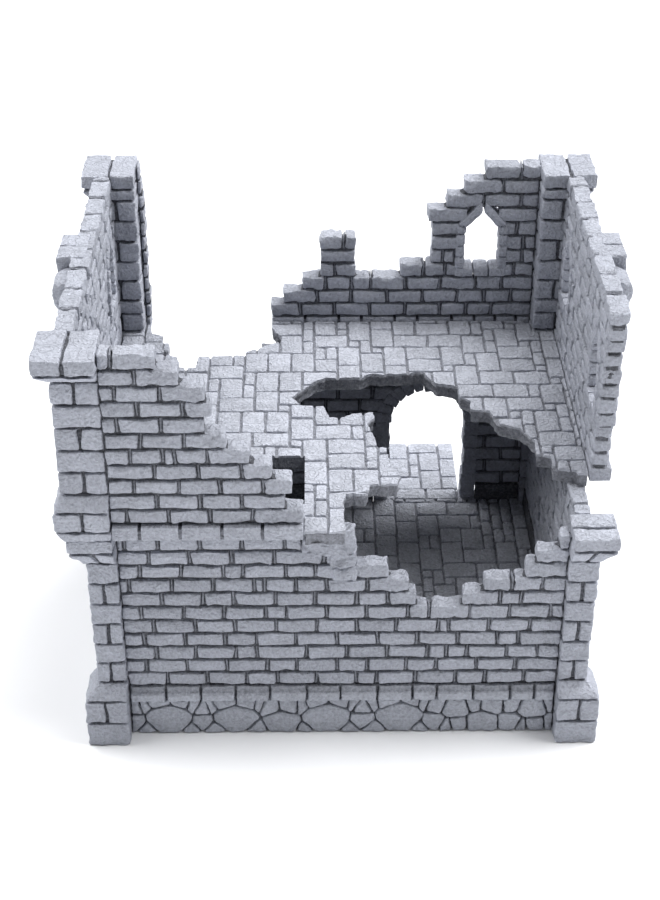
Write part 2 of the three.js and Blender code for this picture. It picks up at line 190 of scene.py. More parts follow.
def blockTree():
    tree = bpy.data.node_groups.new("stone blocks", "GeometryNodeTree")
    sockets = [
        ("Blocks", "INPUT", "NodeSocketGeometry"), ("Edge Radius", "INPUT", "NodeSocketFloat"),
        ("Waviness", "INPUT", "NodeSocketFloat"), ("Wave Size", "INPUT", "NodeSocketFloat"),
        ("Chipping", "INPUT", "NodeSocketFloat"), ("Seed", "INPUT", "NodeSocketFloat"),
        ("Stone", "INPUT", "NodeSocketMaterial"), ("Stonework", "OUTPUT", "NodeSocketGeometry")]
    for name, side, kind in sockets:
        tree.interface.new_socket(name, in_out=side, socket_type=kind)
    make = nodeMaker(tree)
    entry = tree.nodes.new("NodeGroupInput").outputs

    def vectors(operation, first, second=None, third=None):
        inputs = {0: first}
        if second is not None:
            inputs[1] = second
        if third is not None:
            inputs[2] = third
        out = 1 if operation == "LENGTH" else 0
        return make("ShaderNodeVectorMath", inputs, output=out, operation=operation)

    def scaled(vector, share):
        return make("ShaderNodeVectorMath", {0: vector, "Scale": share}, operation="SCALE")

    def evenly(number):
        return make("ShaderNodeCombineXYZ", {0: number, 1: number, 2: number})

    # a small cube of few faces; each corner keeps its place in the unit block
    unitBlock = make("GeometryNodeMeshCube", {
        "Size": (1, 1, 1), "Vertices X": 6, "Vertices Y": 4, "Vertices Z": 4})
    here = make("GeometryNodeInputPosition")
    unitBlock = make("GeometryNodeStoreNamedAttribute", {
        "Geometry": unitBlock, "Name": "unitPlace", "Value": here}, data_type="FLOAT_VECTOR")
    points = make("GeometryNodeStoreNamedAttribute", {
        "Geometry": entry["Blocks"], "Name": "centre", "Value": here}, data_type="FLOAT_VECTOR")
    blocks = make("GeometryNodeInstanceOnPoints", {"Points": points, "Instance": unitBlock})
    blocks = make("GeometryNodeRealizeInstances", {"Geometry": blocks})

    unit = attribute(make, "unitPlace")
    half = scaled(attribute(make, "blockSize"), 0.5)
    reach = scaled(vectors("ABSOLUTE", unit), 2.0)
    outer = vectors("FLOOR", vectors("ADD", reach, (0.1, 0.1, 0.1)))
    ring = vectors("FLOOR", vectors("ADD", reach, (0.7, 0.7, 0.7)))
    edgeShare = attribute(make, "blockEdge", "FLOAT")
    radius = make("ShaderNodeMath", {0: entry["Edge Radius"], 1: edgeShare}, operation="MULTIPLY")
    radii = evenly(radius)
    inner = vectors("SUBTRACT", half, radii)
    share = vectors("MULTIPLY_ADD", ring, (0.67, 0.67, 0.67), (0.33, 0.33, 0.33))
    sides = vectors("LENGTH", outer)
    sides = make("ShaderNodeMath", {0: sides, 1: 1.0}, operation="MAXIMUM")
    rounding = make("ShaderNodeMath", {0: radius, 1: sides}, operation="DIVIDE")
    place = vectors("ADD", vectors("MULTIPLY", inner, share), scaled(outer, rounding))
    place = vectors("MULTIPLY", place, vectors("SIGN", unit))
    place = make("ShaderNodeVectorRotate", {
        "Vector": place, "Rotation": attribute(make, "blockTurn")}, rotation_type="EULER_XYZ")
    place = vectors("ADD", place, attribute(make, "centre"))

    # each stone has its own waves, so that neighbours never match
    seed = make("ShaderNodeMath", {0: attribute(make, "blockSeed", "FLOAT"), 1: entry["Seed"]},
                operation="ADD")
    waveSize = make("ShaderNodeMath", {0: 1.0, 1: entry["Wave Size"]}, operation="DIVIDE")
    spot = vectors("ADD", scaled(place, waveSize), evenly(seed))

    def waver(scale, amount):
        waves = make("ShaderNodeTexNoise", {"Vector": spot, "Scale": scale, "Detail": 1.0},
                     output=1)
        return scaled(vectors("SUBTRACT", waves, (0.5, 0.5, 0.5)), amount)

    place = vectors("ADD", place, waver(1.0, entry["Waviness"]))
    place = vectors("ADD", place, waver(3.3, entry["Chipping"]))
    blocks = make("GeometryNodeSetPosition", {"Geometry": blocks, "Position": place})
    # the count of rounded sides marks the edges, which the material lightens as wear, with a painted
    # highlight on the upward ones
    worn = make("ShaderNodeMath", {0: sides, 1: 1.0}, operation="SUBTRACT")
    blocks = make("GeometryNodeStoreNamedAttribute", {
        "Geometry": blocks, "Name": "edge", "Value": worn}, data_type="FLOAT")
    blocks = make("GeometryNodeSetMaterial", {"Geometry": blocks, "Material": entry["Stone"]})
    tree.nodes.new("NodeGroupOutput")
    tree.links.new(blocks, tree.nodes[-1].inputs["Stonework"])
    return tree


stoneBlocks = blockTree()


def layBlocks(name, blocks, finish, course):
    # blocks are dictionaries of centre, size, turn, seed, tone, painted shade and edge
    mesh = bpy.data.meshes.new(name)
    mesh.from_pydata([Vector(b["centre"]) * mm for b in blocks], [], [])
    columns = {
        "blockSize": ("FLOAT_VECTOR", [[s * mm for s in b["size"]] for b in blocks]),
        "blockTurn": ("FLOAT_VECTOR", [b.get("turn", (0, 0, 0)) for b in blocks]),
        "blockSeed": ("FLOAT", [b.get("seed", 0.0) for b in blocks]),
        "blockEdge": ("FLOAT", [
            min(1.0, 0.42 * min(b["size"]) / course["edgeRadius"]) for b in blocks]),
        "tone": ("FLOAT", [b.get("tone", 0.0) for b in blocks]),
        "recess": ("FLOAT", [b.get("recess", 0.0) for b in blocks])}
    for key, (kind, values) in columns.items():
        layer = mesh.attributes.new(key, kind, "POINT")
        field = "vector" if kind == "FLOAT_VECTOR" else "value"
        layer.data.foreach_set(field, np.array(values, np.float32).ravel())
    piece = bpy.data.objects.new(name, mesh)
    bpy.context.scene.collection.objects.link(piece)
    modifier = piece.modifiers.new("blocks", "NODES")
    modifier.node_group = stoneBlocks
    values = {
        "Edge Radius": course["edgeRadius"] * mm, "Waviness": course["waviness"] * mm,
        "Wave Size": course["waveSize"] * mm, "Chipping": course["chipping"] * mm,
        "Seed": course["seed"], "Stone": finishes[finish]}
    for socket in stoneBlocks.interface.items_tree:
        if socket.in_out == "INPUT" and socket.name in values:
            modifier[socket.identifier] = values[socket.name]
    graph = bpy.context.evaluated_depsgraph_get()
    laid = bpy.data.meshes.new_from_object(
        piece.evaluated_get(graph), preserve_all_data_layers=True, depsgraph=graph)
    piece.modifiers.remove(modifier)
    piece.data = laid
    for extra in ("unitPlace", "centre", "blockSize", "blockTurn", "blockSeed", "blockEdge"):
        if extra in laid.attributes:
            laid.attributes.remove(laid.attributes[extra])
    return piece


# stones that are cut one at a time

def newHeap():
    return {"points": [], "faces": [], "tone": [], "edge": [], "recess": []}


# the last value is painted shade: how much the colour is darkened where shadow falls in joints and
# hollows
def addShell(heap, points, faces, tone=0.0, edge=None, recess=0.0):
    start = len(heap["points"])
    heap["points"].extend(points)
    heap["faces"].extend([tuple(start + i for i in face) for face in faces])
    heap["tone"].extend([tone] * len(points))
    heap["edge"].extend(edge if edge is not None else [0.0] * len(points))
    heap["recess"].extend(recess if isinstance(recess, list) else [recess] * len(points))


def wavered(point, amount, size, seed):
    # the same two waves that the block tree has
    spot = Vector(point) / size + Vector((seed, seed * 1.7, seed * 0.3))
    slow = noise.noise_vector(spot)
    quick = noise.noise_vector(spot * 3.1)
    return Vector(point) + slow * amount + quick * amount * 0.45


gridCache = {}


def cubeGrid(divisions):
    # the surface of a box as a grid: its points' steps along the three sides, and its faces
    if divisions in gridCache:
        return gridCache[divisions]
    nu, nv, nw = divisions
    index = {}
    for i in range(nu + 1):
        for j in range(nv + 1):
            for k in range(nw + 1):
                if i in (0, nu) or j in (0, nv) or k in (0, nw):
                    index[i, j, k] = len(index)
    faces = []
    for i in range(nu):
        for j in range(nv):
            a, b, c, d = (i, j), (i + 1, j), (i + 1, j + 1), (i, j + 1)
            faces.append([index[p + (nw,)] for p in (a, b, c, d)])
            faces.append([index[p + (0,)] for p in (a, d, c, b)])
    for i in range(nu):
        for k in range(nw):
            a, b, c, d = (i, k), (i + 1, k), (i + 1, k + 1), (i, k + 1)
            faces.append([index[p[0], 0, p[1]] for p in (a, b, c, d)])
            faces.append([index[p[0], nv, p[1]] for p in (a, d, c, b)])
    for j in range(nv):
        for k in range(nw):
            a, b, c, d = (j, k), (j + 1, k), (j + 1, k + 1), (j, k + 1)
            faces.append([index[(nu,) + p] for p in (a, b, c, d)])
            faces.append([index[(0,) + p] for p in (a, d, c, b)])
    gridCache[divisions] = (list(index), faces)
    return gridCache[divisions]


def addStone(heap, foot, head, cut, seed, tone=0.0, recess=0.0, divisions=None):
    # a stone between two four-cornered outlines, with rounded edges and a waved surface;
    # both outlines go the same way round, anticlockwise seen from the head
    corners = [Vector(p) for p in list(foot) + list(head)]
    lengths = (
        ((corners[1] - corners[0]).length + (corners[6] - corners[7]).length) / 2,
        ((corners[3] - corners[0]).length + (corners[6] - corners[5]).length) / 2,
        ((corners[4] - corners[0]).length + (corners[6] - corners[2]).length) / 2)
    if divisions is None:
        divisions = tuple(max(3, min(cut["most"], round(s / cut["step"]))) for s in lengths)
    radius = min(cut["edgeRadius"], 0.42 * min(lengths))
    steps, faces = cubeGrid(divisions)
    points, edge = [], []
    for step in steps:
        base, outer = [], []
        for axis in range(3):
            inner = lengths[axis] / 2 - radius
            last = divisions[axis]
            if step[axis] == 0:
                base.append(-inner)
                outer.append(-1)
            elif step[axis] == last:
                base.append(inner)
                outer.append(1)
            else:
                base.append(-inner + 2 * inner * (step[axis] - 1) / (last - 2))
                outer.append(0)
        count = sum(abs(o) for o in outer)
        push = radius / math.sqrt(max(1, count))
        u, v, w = [(base[a] + outer[a] * push) / lengths[a] + 0.5 for a in range(3)]
        low = corners[0].lerp(corners[1], u).lerp(corners[3].lerp(corners[2], u), v)
        high = corners[4].lerp(corners[5], u).lerp(corners[7].lerp(corners[6], u), v)
        points.append(wavered(low.lerp(high, w), cut["waviness"], cut["waveSize"], seed))
        edge.append(math.sqrt(max(1, count)) - 1)
    addShell(heap, points, faces, tone, edge, recess)


def addBox(heap, low, high, cut, seed, **more):
    (x0, y0, z0), (x1, y1, z1) = low, high
    foot = [(x0, y0, z0), (x1, y0, z0), (x1, y1, z0), (x0, y1, z0)]
    head = [(x, y, z1) for x, y, z in foot]
    addStone(heap, foot, head, cut, seed, **more)


def makePiece(name, heap, finish):
    mesh = bpy.data.meshes.new(name)
    mesh.from_pydata([Vector(p) * mm for p in heap["points"]], [], heap["faces"])
    for key in ("tone", "edge", "recess"):
        layer = mesh.attributes.new(key, "FLOAT", "POINT")
        layer.data.foreach_set("value", np.array(heap[key], np.float32))
    mesh.materials.append(finishes[finish])
    piece = bpy.data.objects.new(name, mesh)
    bpy.context.scene.collection.objects.link(piece)
    return piece


def joined(name, parts):
    # several meshes of one finish become one piece
    first = parts[0]
    if len(parts) > 1:
        with bpy.context.temp_override(
                active_object=first, object=first, selected_objects=parts,
                selected_editable_objects=parts):
            bpy.ops.object.join()
    first.name = name
    first.data.name = name
    return first


finished = []


def finishPiece(piece, body, nodes, sharp=38):
    mesh = piece.data
    # no worn corner stands out of the building's own box
    spots = np.empty(3 * len(mesh.vertices), np.float32)
    mesh.vertices.foreach_get("co", spots)
    spots = np.clip(spots.reshape(-1, 3), cadBounds[0], cadBounds[1])
    mesh.vertices.foreach_set("co", spots.ravel())
    mesh.polygons.foreach_set("use_smooth", [True] * len(mesh.polygons))
    mesh.set_sharp_from_angle(angle=math.radians(sharp))
    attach(piece, body)
    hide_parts(*nodes)
    finished.append(piece)


# walls of coursed bricks

brick = dict(
    edgeRadius=0.55, waviness=1.3, waveSize=4.2, chipping=0.8, bedJoint=0.9, endJoint=1.25,
    standsProud=1.15, faceSpread=0.2, pitch=11.4, shortShare=0.16, seed=3.0,
    exposed=dict(edgeRadius=0.45, waviness=0.55, waveSize=2.6, step=0.8, most=16),
    mortarStep=2.4, mortarWaviness=0.12, topMortar=1.1, endInset=0.35, runsIn=1.0, tilt=0.022)


def bondCuts(rng, start, end, shift):
    # the cuts of a running bond, with a short brick here and there
    cuts = []
    at = start + shift
    while at < end:
        cuts.append(at)
        at += rng.uniform(6.0, 8.2) if rng.random() < brick["shortShare"] else (
            brick["pitch"] + rng.uniform(-0.5, 0.5))
    return cuts


def courseSpans(wall, row):
    # the parts of a course that are left standing, with the openings taken out
    foot = wall["foot"] + row * wall["course"]
    spans = list(wall["spans"][row])
    for opening in wall.get("openings", []):
        half = opening(foot, foot + wall["course"])
        if half is None:
            continue
        left, right = half
        kept = []
        for a, b in spans:
            if right <= a or left >= b:
                kept.append((a, b))
                continue
            if left - a > 0.8:
                kept.append((a, left))
            if b - right > 0.8:
                kept.append((right, b))
        spans = kept
    return spans


def wallPiece(name, body, nodes, wall):
    rng = random.Random(wall["seed"])
    low, high = wall["faces"]
    middle, thick = (low + high) / 2, high - low
    alongX = wall["along"] == "x"

    def placed(u, v, z):
        return (u, v, z) if alongX else (v, u, z)

    blocks, heap = [], newHeap()
    rows = len(wall["spans"])
    allSpans = [courseSpans(wall, row) for row in range(rows)]
    for row, spans in enumerate(allSpans):
        foot = wall["foot"] + row * wall["course"]
        top = min(foot + wall["course"], wall["top"])
        above = allSpans[row + 1] if row + 1 < rows else []
        given = wall.get("cuts", {}).get(row + 1)
        shift = (0.5 if row % 2 else 0.05) * brick["pitch"] + rng.uniform(-1.2, 1.2)
        for start, end in spans:
            cuts = given if given is not None else bondCuts(rng, start, end, shift)
            inside = [c for c in cuts if start + 1.6 < c < end - 1.6]
            edges = [start, *inside, end]
            for left, right in zip(edges, edges[1:]):
                a = left + (brick["endJoint"] / 2 if left != start else 0)
                b = right - (brick["endJoint"] / 2 if right != end else 0)
                spread = rng.uniform(-brick["faceSpread"], brick["faceSpread"])
                lower, upper = foot + brick["bedJoint"] / 2, top - brick["bedJoint"] / 2
                covered = any(p - 0.4 <= a and q + 0.4 >= b for p, q in above)
                tone = rng.uniform(-1, 1)
                seed = rng.uniform(0, 90)
                if covered or b - a < 1.5:
                    lean = rng.uniform(-brick["tilt"], brick["tilt"])
                    turn = 0 if alongX else math.pi / 2
                    blocks.append(dict(
                        centre=placed((a + b) / 2, middle, (lower + upper) / 2),
                        size=(b - a, thick - 0.15 + spread, upper - lower),
                        turn=(lean, 0, turn + rng.uniform(-0.3, 0.3) * brick["tilt"]),
                        seed=seed, tone=tone))
                else:
                    v0, v1 = low + 0.1 - spread / 2, high - 0.1 + spread / 2
                    corners = [placed(a, v0, lower), placed(b, v1, min(top - 0.25, upper + 0.2))]
                    lowest = [min(p) for p in zip(*corners)]
                    highest = [max(p) for p in zip(*corners)]
                    addBox(heap, lowest, highest, brick["exposed"], seed, tone=tone)
                if right != end:
                    # a thin mortar block in the end joint, darkened by half with painted shade
                    blocks.append(dict(
                        centre=placed(right, middle, (lower + upper) / 2),
                        size=(0.5, thick - 2 * brick["standsProud"] + 0.8, upper - lower + 0.2),
                        turn=(0, 0, 0 if alongX else math.pi / 2), seed=seed, recess=0.5))
    mortar = mortarCore(wall, allSpans)
    parts = [layBlocks(name, blocks, "masonry", brick), makePiece(name + "Mortar", mortar,
                                                                 "masonry")]
    if heap["points"]:
        parts.append(makePiece(name + "Broken", heap, "masonry"))
    for extra in wall.get("extras", []):
        parts.append(extra)
    piece = joined(name, parts)
    finishPiece(piece, body, nodes)
    return piece


def mortarCore(wall, allSpans):
    # one closed slab behind the bricks' faces, stepped where the courses end
    low, high = wall["faces"]
    near, far = low + brick["standsProud"], high - brick["standsProud"]
    ends = sorted({round(e, 3) for spans in allSpans for span in spans for e in span})
    across = []
    for a, b in zip(ends, ends[1:]):
        parts = max(1, round((b - a) / brick["mortarStep"]))
        across += [a + (b - a) * i / parts for i in range(parts)]
    across.append(ends[-1])
    inset = brick["endInset"]
    pierFace = endX if wall["along"] == "x" else endY
    filled = set()
    for row, spans in enumerate(allSpans):
        for i, (a, b) in enumerate(zip(across, across[1:])):
            if any(p - 0.01 <= a and q + 0.01 >= b for p, q in spans):
                filled.update({(i, 2 * row), (i, 2 * row + 1)})
    heights = []
    for row in range(len(allSpans)):
        heights += [wall["foot"] + row * wall["course"],
                    wall["foot"] + (row + 0.5) * wall["course"]]
    heights.append(min(wall["foot"] + len(allSpans) * wall["course"], wall["top"]))
    heights[-2] = min(heights[-2], (heights[-1] + heights[-3]) / 2)
    points, index, faces = [], {}, []

    def corner(i, k, side):
        key = (i, k, side)
        if key not in index:
            # a corner at a free end or a free top stands back a little inside the bricks
            u, z = across[i], heights[k]
            around = [(i - 1, k - 1), (i, k - 1), (i - 1, k), (i, k)]
            has = [c in filled for c in around]
            if (has[0] or has[2]) and not (has[1] or has[3]):
                u += brick["runsIn"] if u > pierFace - 0.1 else -inset
            if (has[1] or has[3]) and not (has[0] or has[2]):
                u -= brick["runsIn"] if u < 0.1 - pierFace else -inset
            if (has[0] or has[1]) and not (has[2] or has[3]):
                z -= inset + brick["topMortar"]
            index[key] = len(points)
            v = far if side else near
            v += noise.noise(Vector((u, z, v + wall["seed"])) / 2.5) * brick["mortarWaviness"]
            points.append((u, v, z) if wall["along"] == "x" else (v, u, z))
        return index[key]

    for i, k in filled:
        near4 = [corner(i, k, 0), corner(i + 1, k, 0), corner(i + 1, k + 1, 0),
                 corner(i, k + 1, 0)]
        far4 = [corner(i, k, 1), corner(i + 1, k, 1), corner(i + 1, k + 1, 1),
                corner(i, k + 1, 1)]
        faces.append(near4)
        faces.append(far4[::-1])
        for beside, p, q in (((i, k - 1), 0, 1), ((i + 1, k), 1, 2), ((i, k + 1), 2, 3),
                             ((i - 1, k), 3, 0)):
            if beside not in filled:
                faces.append([near4[q], near4[p], far4[p], far4[q]])
    if wall["along"] == "y":
        faces = [f[::-1] for f in faces]
    heap = newHeap()
    # the mortar is darkened in full with painted shade, standing for the shadow in the joints
    addShell(heap, points, faces, recess=1.0)
    return heap


def steppedSpans(rows, start, end):
    return [[(start, end)] for _ in range(rows)]


def lancetHalf(z, shape):
    # half the width of a pointed light at a height, or of its frame's outer outline
    if z <= shape["springing"]:
        return shape["half"]
    rise = shape["apex"] - shape["springing"]
    if z >= shape["apex"]:
        return 0.0
    radius = (shape["half"] ** 2 + rise ** 2) / (2 * shape["half"])
    return max(0.0, shape["half"] - radius + math.sqrt(
        max(0.0, radius ** 2 - (z - shape["springing"]) ** 2)))


lancetSill = 99.2
lancet = dict(half=5.3, springing=111.0, apex=118.7, frame=3.1, frameApex=3.7, tuck=0.9)


def lancetOpening(centre, sill):
    def at(low, high):
        if high <= sill + 1.5 or low >= lancet["apex"] + 0.6:
            return None
        half = lancetHalf(low, lancet) + lancet["tuck"]
        return centre - half, centre + half
    return at


def wallPlanes(node, along):
    # a wall's two faces, across the way it runs
    low, high = nodeBox(node)
    axis = 1 if along == "x" else 0
    return low[axis], high[axis]


groundRows, groundCourse = 12, 4.92
upperRows = 11
groundFoot, groundTop = nodeBox("ground_wall_front")[0][2], nodeBox("ground_wall_front")[1][2]
upperFoot, upperTop = nodeBox("upper_wall_left")[0][2], nodeBox("upper_wall_left")[1][2]
upperCourse = (upperTop - upperFoot) / upperRows
endX, endY = nodeBox("ground_wall_front")[1][0], nodeBox("ground_wall_left")[1][1]

leftOfGap = [20.5, 18.2, 12.4, 2.9, 2.2]
rightOfGap = [33.8, 39.5, 51.0, 53.7, 59.7]
frontSpans = [[(-endX, endX)] for _ in range(6)]
frontSpans += [[(-endX, a), (b, endX)] for a, b in zip(leftOfGap, rightOfGap)]
frontSpans.append([(-endX, -3.0)])
frontCuts = {
    1: [-51.1, -39.4, -27.9, -19.1, -7.6, 3.9, 9.9, 21.3, 32.9, 41.7, 53.0],
    2: [-57.0, -45.2, -33.6, -21.8, -13.3, -1.7, 7.1, 18.4, 27.1, 38.7, 50.3],
    3: [-53.8, -42.3, -30.8, -24.8, -10.4, 1.2, 12.8, 24.3, 30.0, 35.9, 47.4, 56.1],
    4: [-57.0, -45.3, -33.7, -24.7, -13.5, -1.7, 10.1, 21.4, 33.0, 44.5, 50.4],
    5: [-54.0, -42.1, -30.8, -19.0, -7.5, 3.9, 15.3, 27.2, 30.2, 41.7, 53.5],
    6: [-57.1, -45.3, -33.7, -22.0, -16.1, -4.7, 6.7, 18.4, 24.4, 36.0, 47.2, 59.0],
    7: [-51.1, -39.5, -30.8, -19.1, -7.8, 3.8, 12.6, 44.5, 50.3],
    8: [-60.0, -48.1, -36.6, -25.0, -22.1, -13.2, -4.8, 6.8, 47.6, 56.0],
    9: [-56.9, -45.2, -33.6, -27.9, -16.1, -7.8, 2.9],
    10: [-54.1, -42.7, -30.9, -19.2, -5.3],
    11: [-60.4, -51.3, -39.8, -28.1, -16.3, -11.2], 12: [-54.6, -43.2, -31.8, -20.4, -9.8]}
# rough lumps of fallen masonry under the tongue of floor
lump = dict(edgeRadius=0.7, waviness=1.1, waveSize=3.0, step=0.9, most=18)
fallen = newHeap()
addBox(fallen, (-11.3, -54.3, 66.6), (3.0, -49.2, 75.0), lump, 17, tone=0.3)
addBox(fallen, (-3.6, -54.2, 62.0), (3.5, -49.2, 67.2), lump, 18, tone=-0.4)
addBox(fallen, (-3.2, -53.9, 57.6), (3.6, -49.4, 61.8), lump, 19, tone=0.6)
wallPiece("lowerFrontWall", "ground_storey", ["ground_wall_front"], dict(
    along="x", faces=wallPlanes("ground_wall_front", "x"), foot=groundFoot, top=groundTop,
    course=groundCourse, spans=frontSpans, cuts=frontCuts, seed=11,
    extras=[makePiece("fallenLumps", fallen, "masonry")]))

door = dict(centre=30.15, radius=12.85, springing=44.0, frame=4.6, tuck=1.3)


def doorOpening(low, high):
    # the bricks run in behind the ring of arch stones
    reach = door["radius"] + door["tuck"]
    if low > door["springing"]:
        rise = low - door["springing"]
        if rise >= reach:
            return None
        reach = math.sqrt(reach ** 2 - rise ** 2)
    return door["centre"] - reach, door["centre"] + reach


backGroundSpans = steppedSpans(9, -endX, endX)
backGroundSpans += [[(-endX, a), (b, endX)] for a, b in ((-53.0, -40.0), (-55.5, -25.0),
                                                        (-57.2, -19.6))]
wallPiece("lowerBackWall", "ground_storey", ["ground_wall_back"], dict(
    along="x", faces=wallPlanes("ground_wall_back", "x"), foot=groundFoot, top=groundTop,
    course=groundCourse, spans=backGroundSpans, seed=12, openings=[doorOpening]))
for side, seed in (("left", 13), ("right", 14)):
    wallPiece(f"lower{side.title()}Wall", "ground_storey", [f"ground_wall_{side}"], dict(
        along="y", faces=wallPlanes(f"ground_wall_{side}", "y"), foot=groundFoot, top=groundTop,
        course=groundCourse, spans=steppedSpans(groundRows, -endY, endY), seed=seed))
print("ground walls laid")

frontEnds = [-11.1, -16.1, -14.0, -19.2, -24.8, -30.9, -36.4, -34.6, -36.0, -42.4, -48.0]
upperFrontCuts = {
    1: [-58.1, -46.9, -35.7, -24.4], 2: [-61.2, -49.8, -38.4, -27.2],
    3: [-55.6, -43.9, -32.9, -21.6], 4: [-61.1, -49.9, -38.5, -27.1],
    5: [-56.0, -47.5, -44.4, -36.0], 6: [-61.9, -53.0, -41.7], 7: [-58.8, -47.5],
    8: [-53.4, -41.5], 9: [-58.9, -47.4], 10: [-53.4], 11: [-59.2]}
wallPiece("upperFrontWall", "upper_storey", ["upper_wall_front"], dict(
    along="x", faces=wallPlanes("upper_wall_front", "x"), foot=upperFoot, top=upperTop,
    course=upperCourse, spans=[[(-endX, e)] for e in frontEnds], cuts=upperFrontCuts, seed=21))

backSpans = [[(e, endX)] for e in (-21.7, -17.7, -11.5)]
backSpans += [[(-5.8, 5.5), (19.9, endX)], [(-5.6, 5.2), (29.6, endX)], [(29.6, endX)],
              [(29.6, endX)]]
backSpans[5].insert(0, (-5.8, 5.3))
backSpans += [[(e, endX)] for e in (28.1, 33.9, 39.3, 45.7)]
upperBackCuts = {
    1: [-12.4, -1.2, 10.2, 21.7, 32.9, 41.5, 49.9],
    2: [-6.8, 4.2, 15.9, 27.2, 38.5, 47.2, 55.9],
    3: [-4.1, 4.3, 10.4, 21.5, 32.7, 44.1, 52.6], 4: [-1.2, 27.3, 34.2, 41.7, 49.7, 56.3],
    5: [33.4, 37.3, 58.7], 6: [1.7, 58.7], 7: [56.4], 8: [39.1, 51.6], 9: [45.4, 57.2],
    10: [51.2], 11: [56.8]}
wallPiece("upperBackWall", "upper_storey", ["upper_wall_back"], dict(
    along="x", faces=wallPlanes("upper_wall_back", "x"), foot=upperFoot, top=upperTop,
    course=upperCourse, spans=backSpans, cuts=upperBackCuts, seed=22,
    openings=[lancetOpening(45.5, lancetSill)]))
stubEnds = [-60.9, -60.8, -61.1, -61.2, -61.0, -61.2, -61.0, -61.1, -60.9, -61.3, -61.8]
wallPiece("upperBackStub", "upper_storey", ["upper_wall_back_stub"], dict(
    along="x", faces=wallPlanes("upper_wall_back_stub", "x"), foot=upperFoot, top=upperTop,
    course=upperCourse, spans=[[(-endX, e)] for e in stubEnds], seed=23))

sideLights = {"Front": -24.5, "Rear": 31.5}
brokenEnds = [-33.8] * 3 + [-35.6, -36.4, -35.9, -36.6, -36.1, -36.5, -38.8, -38.9]
for side, starts, seed in (("left", [-endY] * upperRows, 24), ("right", brokenEnds, 25)):
    wallPiece(f"upper{side.title()}Wall", "upper_storey", [f"upper_wall_{side}"], dict(
        along="y", faces=wallPlanes(f"upper_wall_{side}", "y"), foot=upperFoot, top=upperTop,
        course=upperCourse, spans=[[(s, endY)] for s in starts], seed=seed,
        openings=[lancetOpening(y, lancetSill) for y in sideLights.values()]))
print("upper walls laid")

# corner piers

pierCut = dict(
    joint=0.7, edgeRadius=0.5, waviness=0.42, waveSize=3.4, step=1.15, most=12, coreInset=1.0)


def pierPiece(name, body, nodes, sideX, sideY, courses, seed):
    # courses are (foot, head, outer at the foot, outer at the head, how the course is split)
    rng = random.Random(seed)
    heap = newHeap()
    lows, highs = zip(*[nodeBox(node) for node in nodes])
    innerX = min(abs(v[0]) for v in lows + highs)
    innerY = min(abs(v[1]) for v in lows + highs)
    planDifference = innerX - innerY
    core = dict(pierCut, waviness=0.05)

    def ring(x0, x1, y0, y1, z):
        corners = [(sideX * x0, sideY * y0, z), (sideX * x1, sideY * y0, z),
                   (sideX * x1, sideY * y1, z), (sideX * x0, sideY * y1, z)]
        return corners if sideX * sideY > 0 else [corners[i] for i in (1, 0, 3, 2)]

    lowest, highest = courses[0][0], courses[-1][1]
    for foot, head, outerLow, outerHigh, split in courses:
        low = foot if foot == lowest else foot + pierCut["joint"] / 2
        high = head if head == highest else head - pierCut["joint"] / 2
        inset = pierCut["coreInset"]
        coreHead = head - inset if head == highest else head
        # the core behind the stones shows in the joints and is darkened with painted shade
        addStone(heap, ring(innerX + inset, outerLow - inset, innerY + inset,
                            outerLow - planDifference - inset, foot),
                 ring(innerX + inset, outerHigh - inset, innerY + inset,
                      outerHigh - planDifference - inset, coreHead),
                 core, seed, recess=1.0, divisions=(3, 3, 3))
        parts = [(0.0, 1.0)]
        if split != "whole":
            middle = 0.5 + rng.uniform(-0.03, 0.03)
            groove = 0.5 * pierCut["joint"] / (outerLow - innerX) * 1.3
            parts = [(0.0, middle - groove), (middle + groove, 1.0)]
        for a, b in parts:
            def outline(outer, z):
                spanX, spanY = outer - innerX, outer - planDifference - innerY
                if split == "deep":
                    return ring(innerX, outer, innerY + a * spanY, innerY + b * spanY, z)
                return ring(innerX + a * spanX, innerX + b * spanX, innerY,
                            outer - planDifference, z)
            addStone(heap, outline(outerLow, low), outline(outerHigh, high), pierCut,
                     rng.uniform(0, 90), tone=rng.uniform(-1, 1))
    piece = makePiece(name, heap, "dressed_stone")
    finishPiece(piece, body, nodes)


def courseLadder(foot, head, count, outer, firstSplit):
    height = (head - foot) / count
    kinds = ["wide", "deep"] if firstSplit == "wide" else ["deep", "wide"]
    return [(foot + i * height, foot + (i + 1) * height, outer, outer, kinds[i % 2])
            for i in range(count)]


groundPier = [(0.2, 8.7, 74.9, 74.9, "deep"), (8.7, 16.9, 74.9, 74.9, "wide"),
              (16.9, 21.5, 74.9, 71.4, "whole")]
groundPier += courseLadder(21.5, 64.9, 6, 71.1, "wide")
groundPier += [(64.9, 71.0, 71.5, 75.1, "wide"), (71.0, 75.4, 75.1, 75.1, "deep")]
upperPier = [(75.7, 80.1, 75.3, 77.5, "whole"), (80.1, 86.4, 77.5, 77.5, "wide"),
             (86.4, 91.2, 77.5, 75.4, "whole")]
upperPier += courseLadder(91.2, 125.9, 5, 75.3, "wide")
upperPier += [(125.9, 129.6, 75.6, 78.8, "deep"), (129.6, 134.3, 78.9, 78.9, "wide")]
sides, ends = {"left": -1, "right": 1}, {"front": -1, "back": 1}
pierSeed = 40
for end, sideY in ends.items():
    for side, sideX in sides.items():
        for storey, courses in (("ground", groundPier), ("upper", upperPier)):
            if storey == "upper" and (end, side) == ("front", "right"):
                continue
            pierSeed += 1
            nodes = [f"{storey}_pier_{part}_{end}_{side}" for part in ("base", "shaft", "capital")]
            pierPiece(f"{storey}Pier{end.title()}{side.title()}", f"{storey}_storey", nodes,
                      sideX, sideY, courses, pierSeed)
print("piers built")

# plinths: rubble under a string course

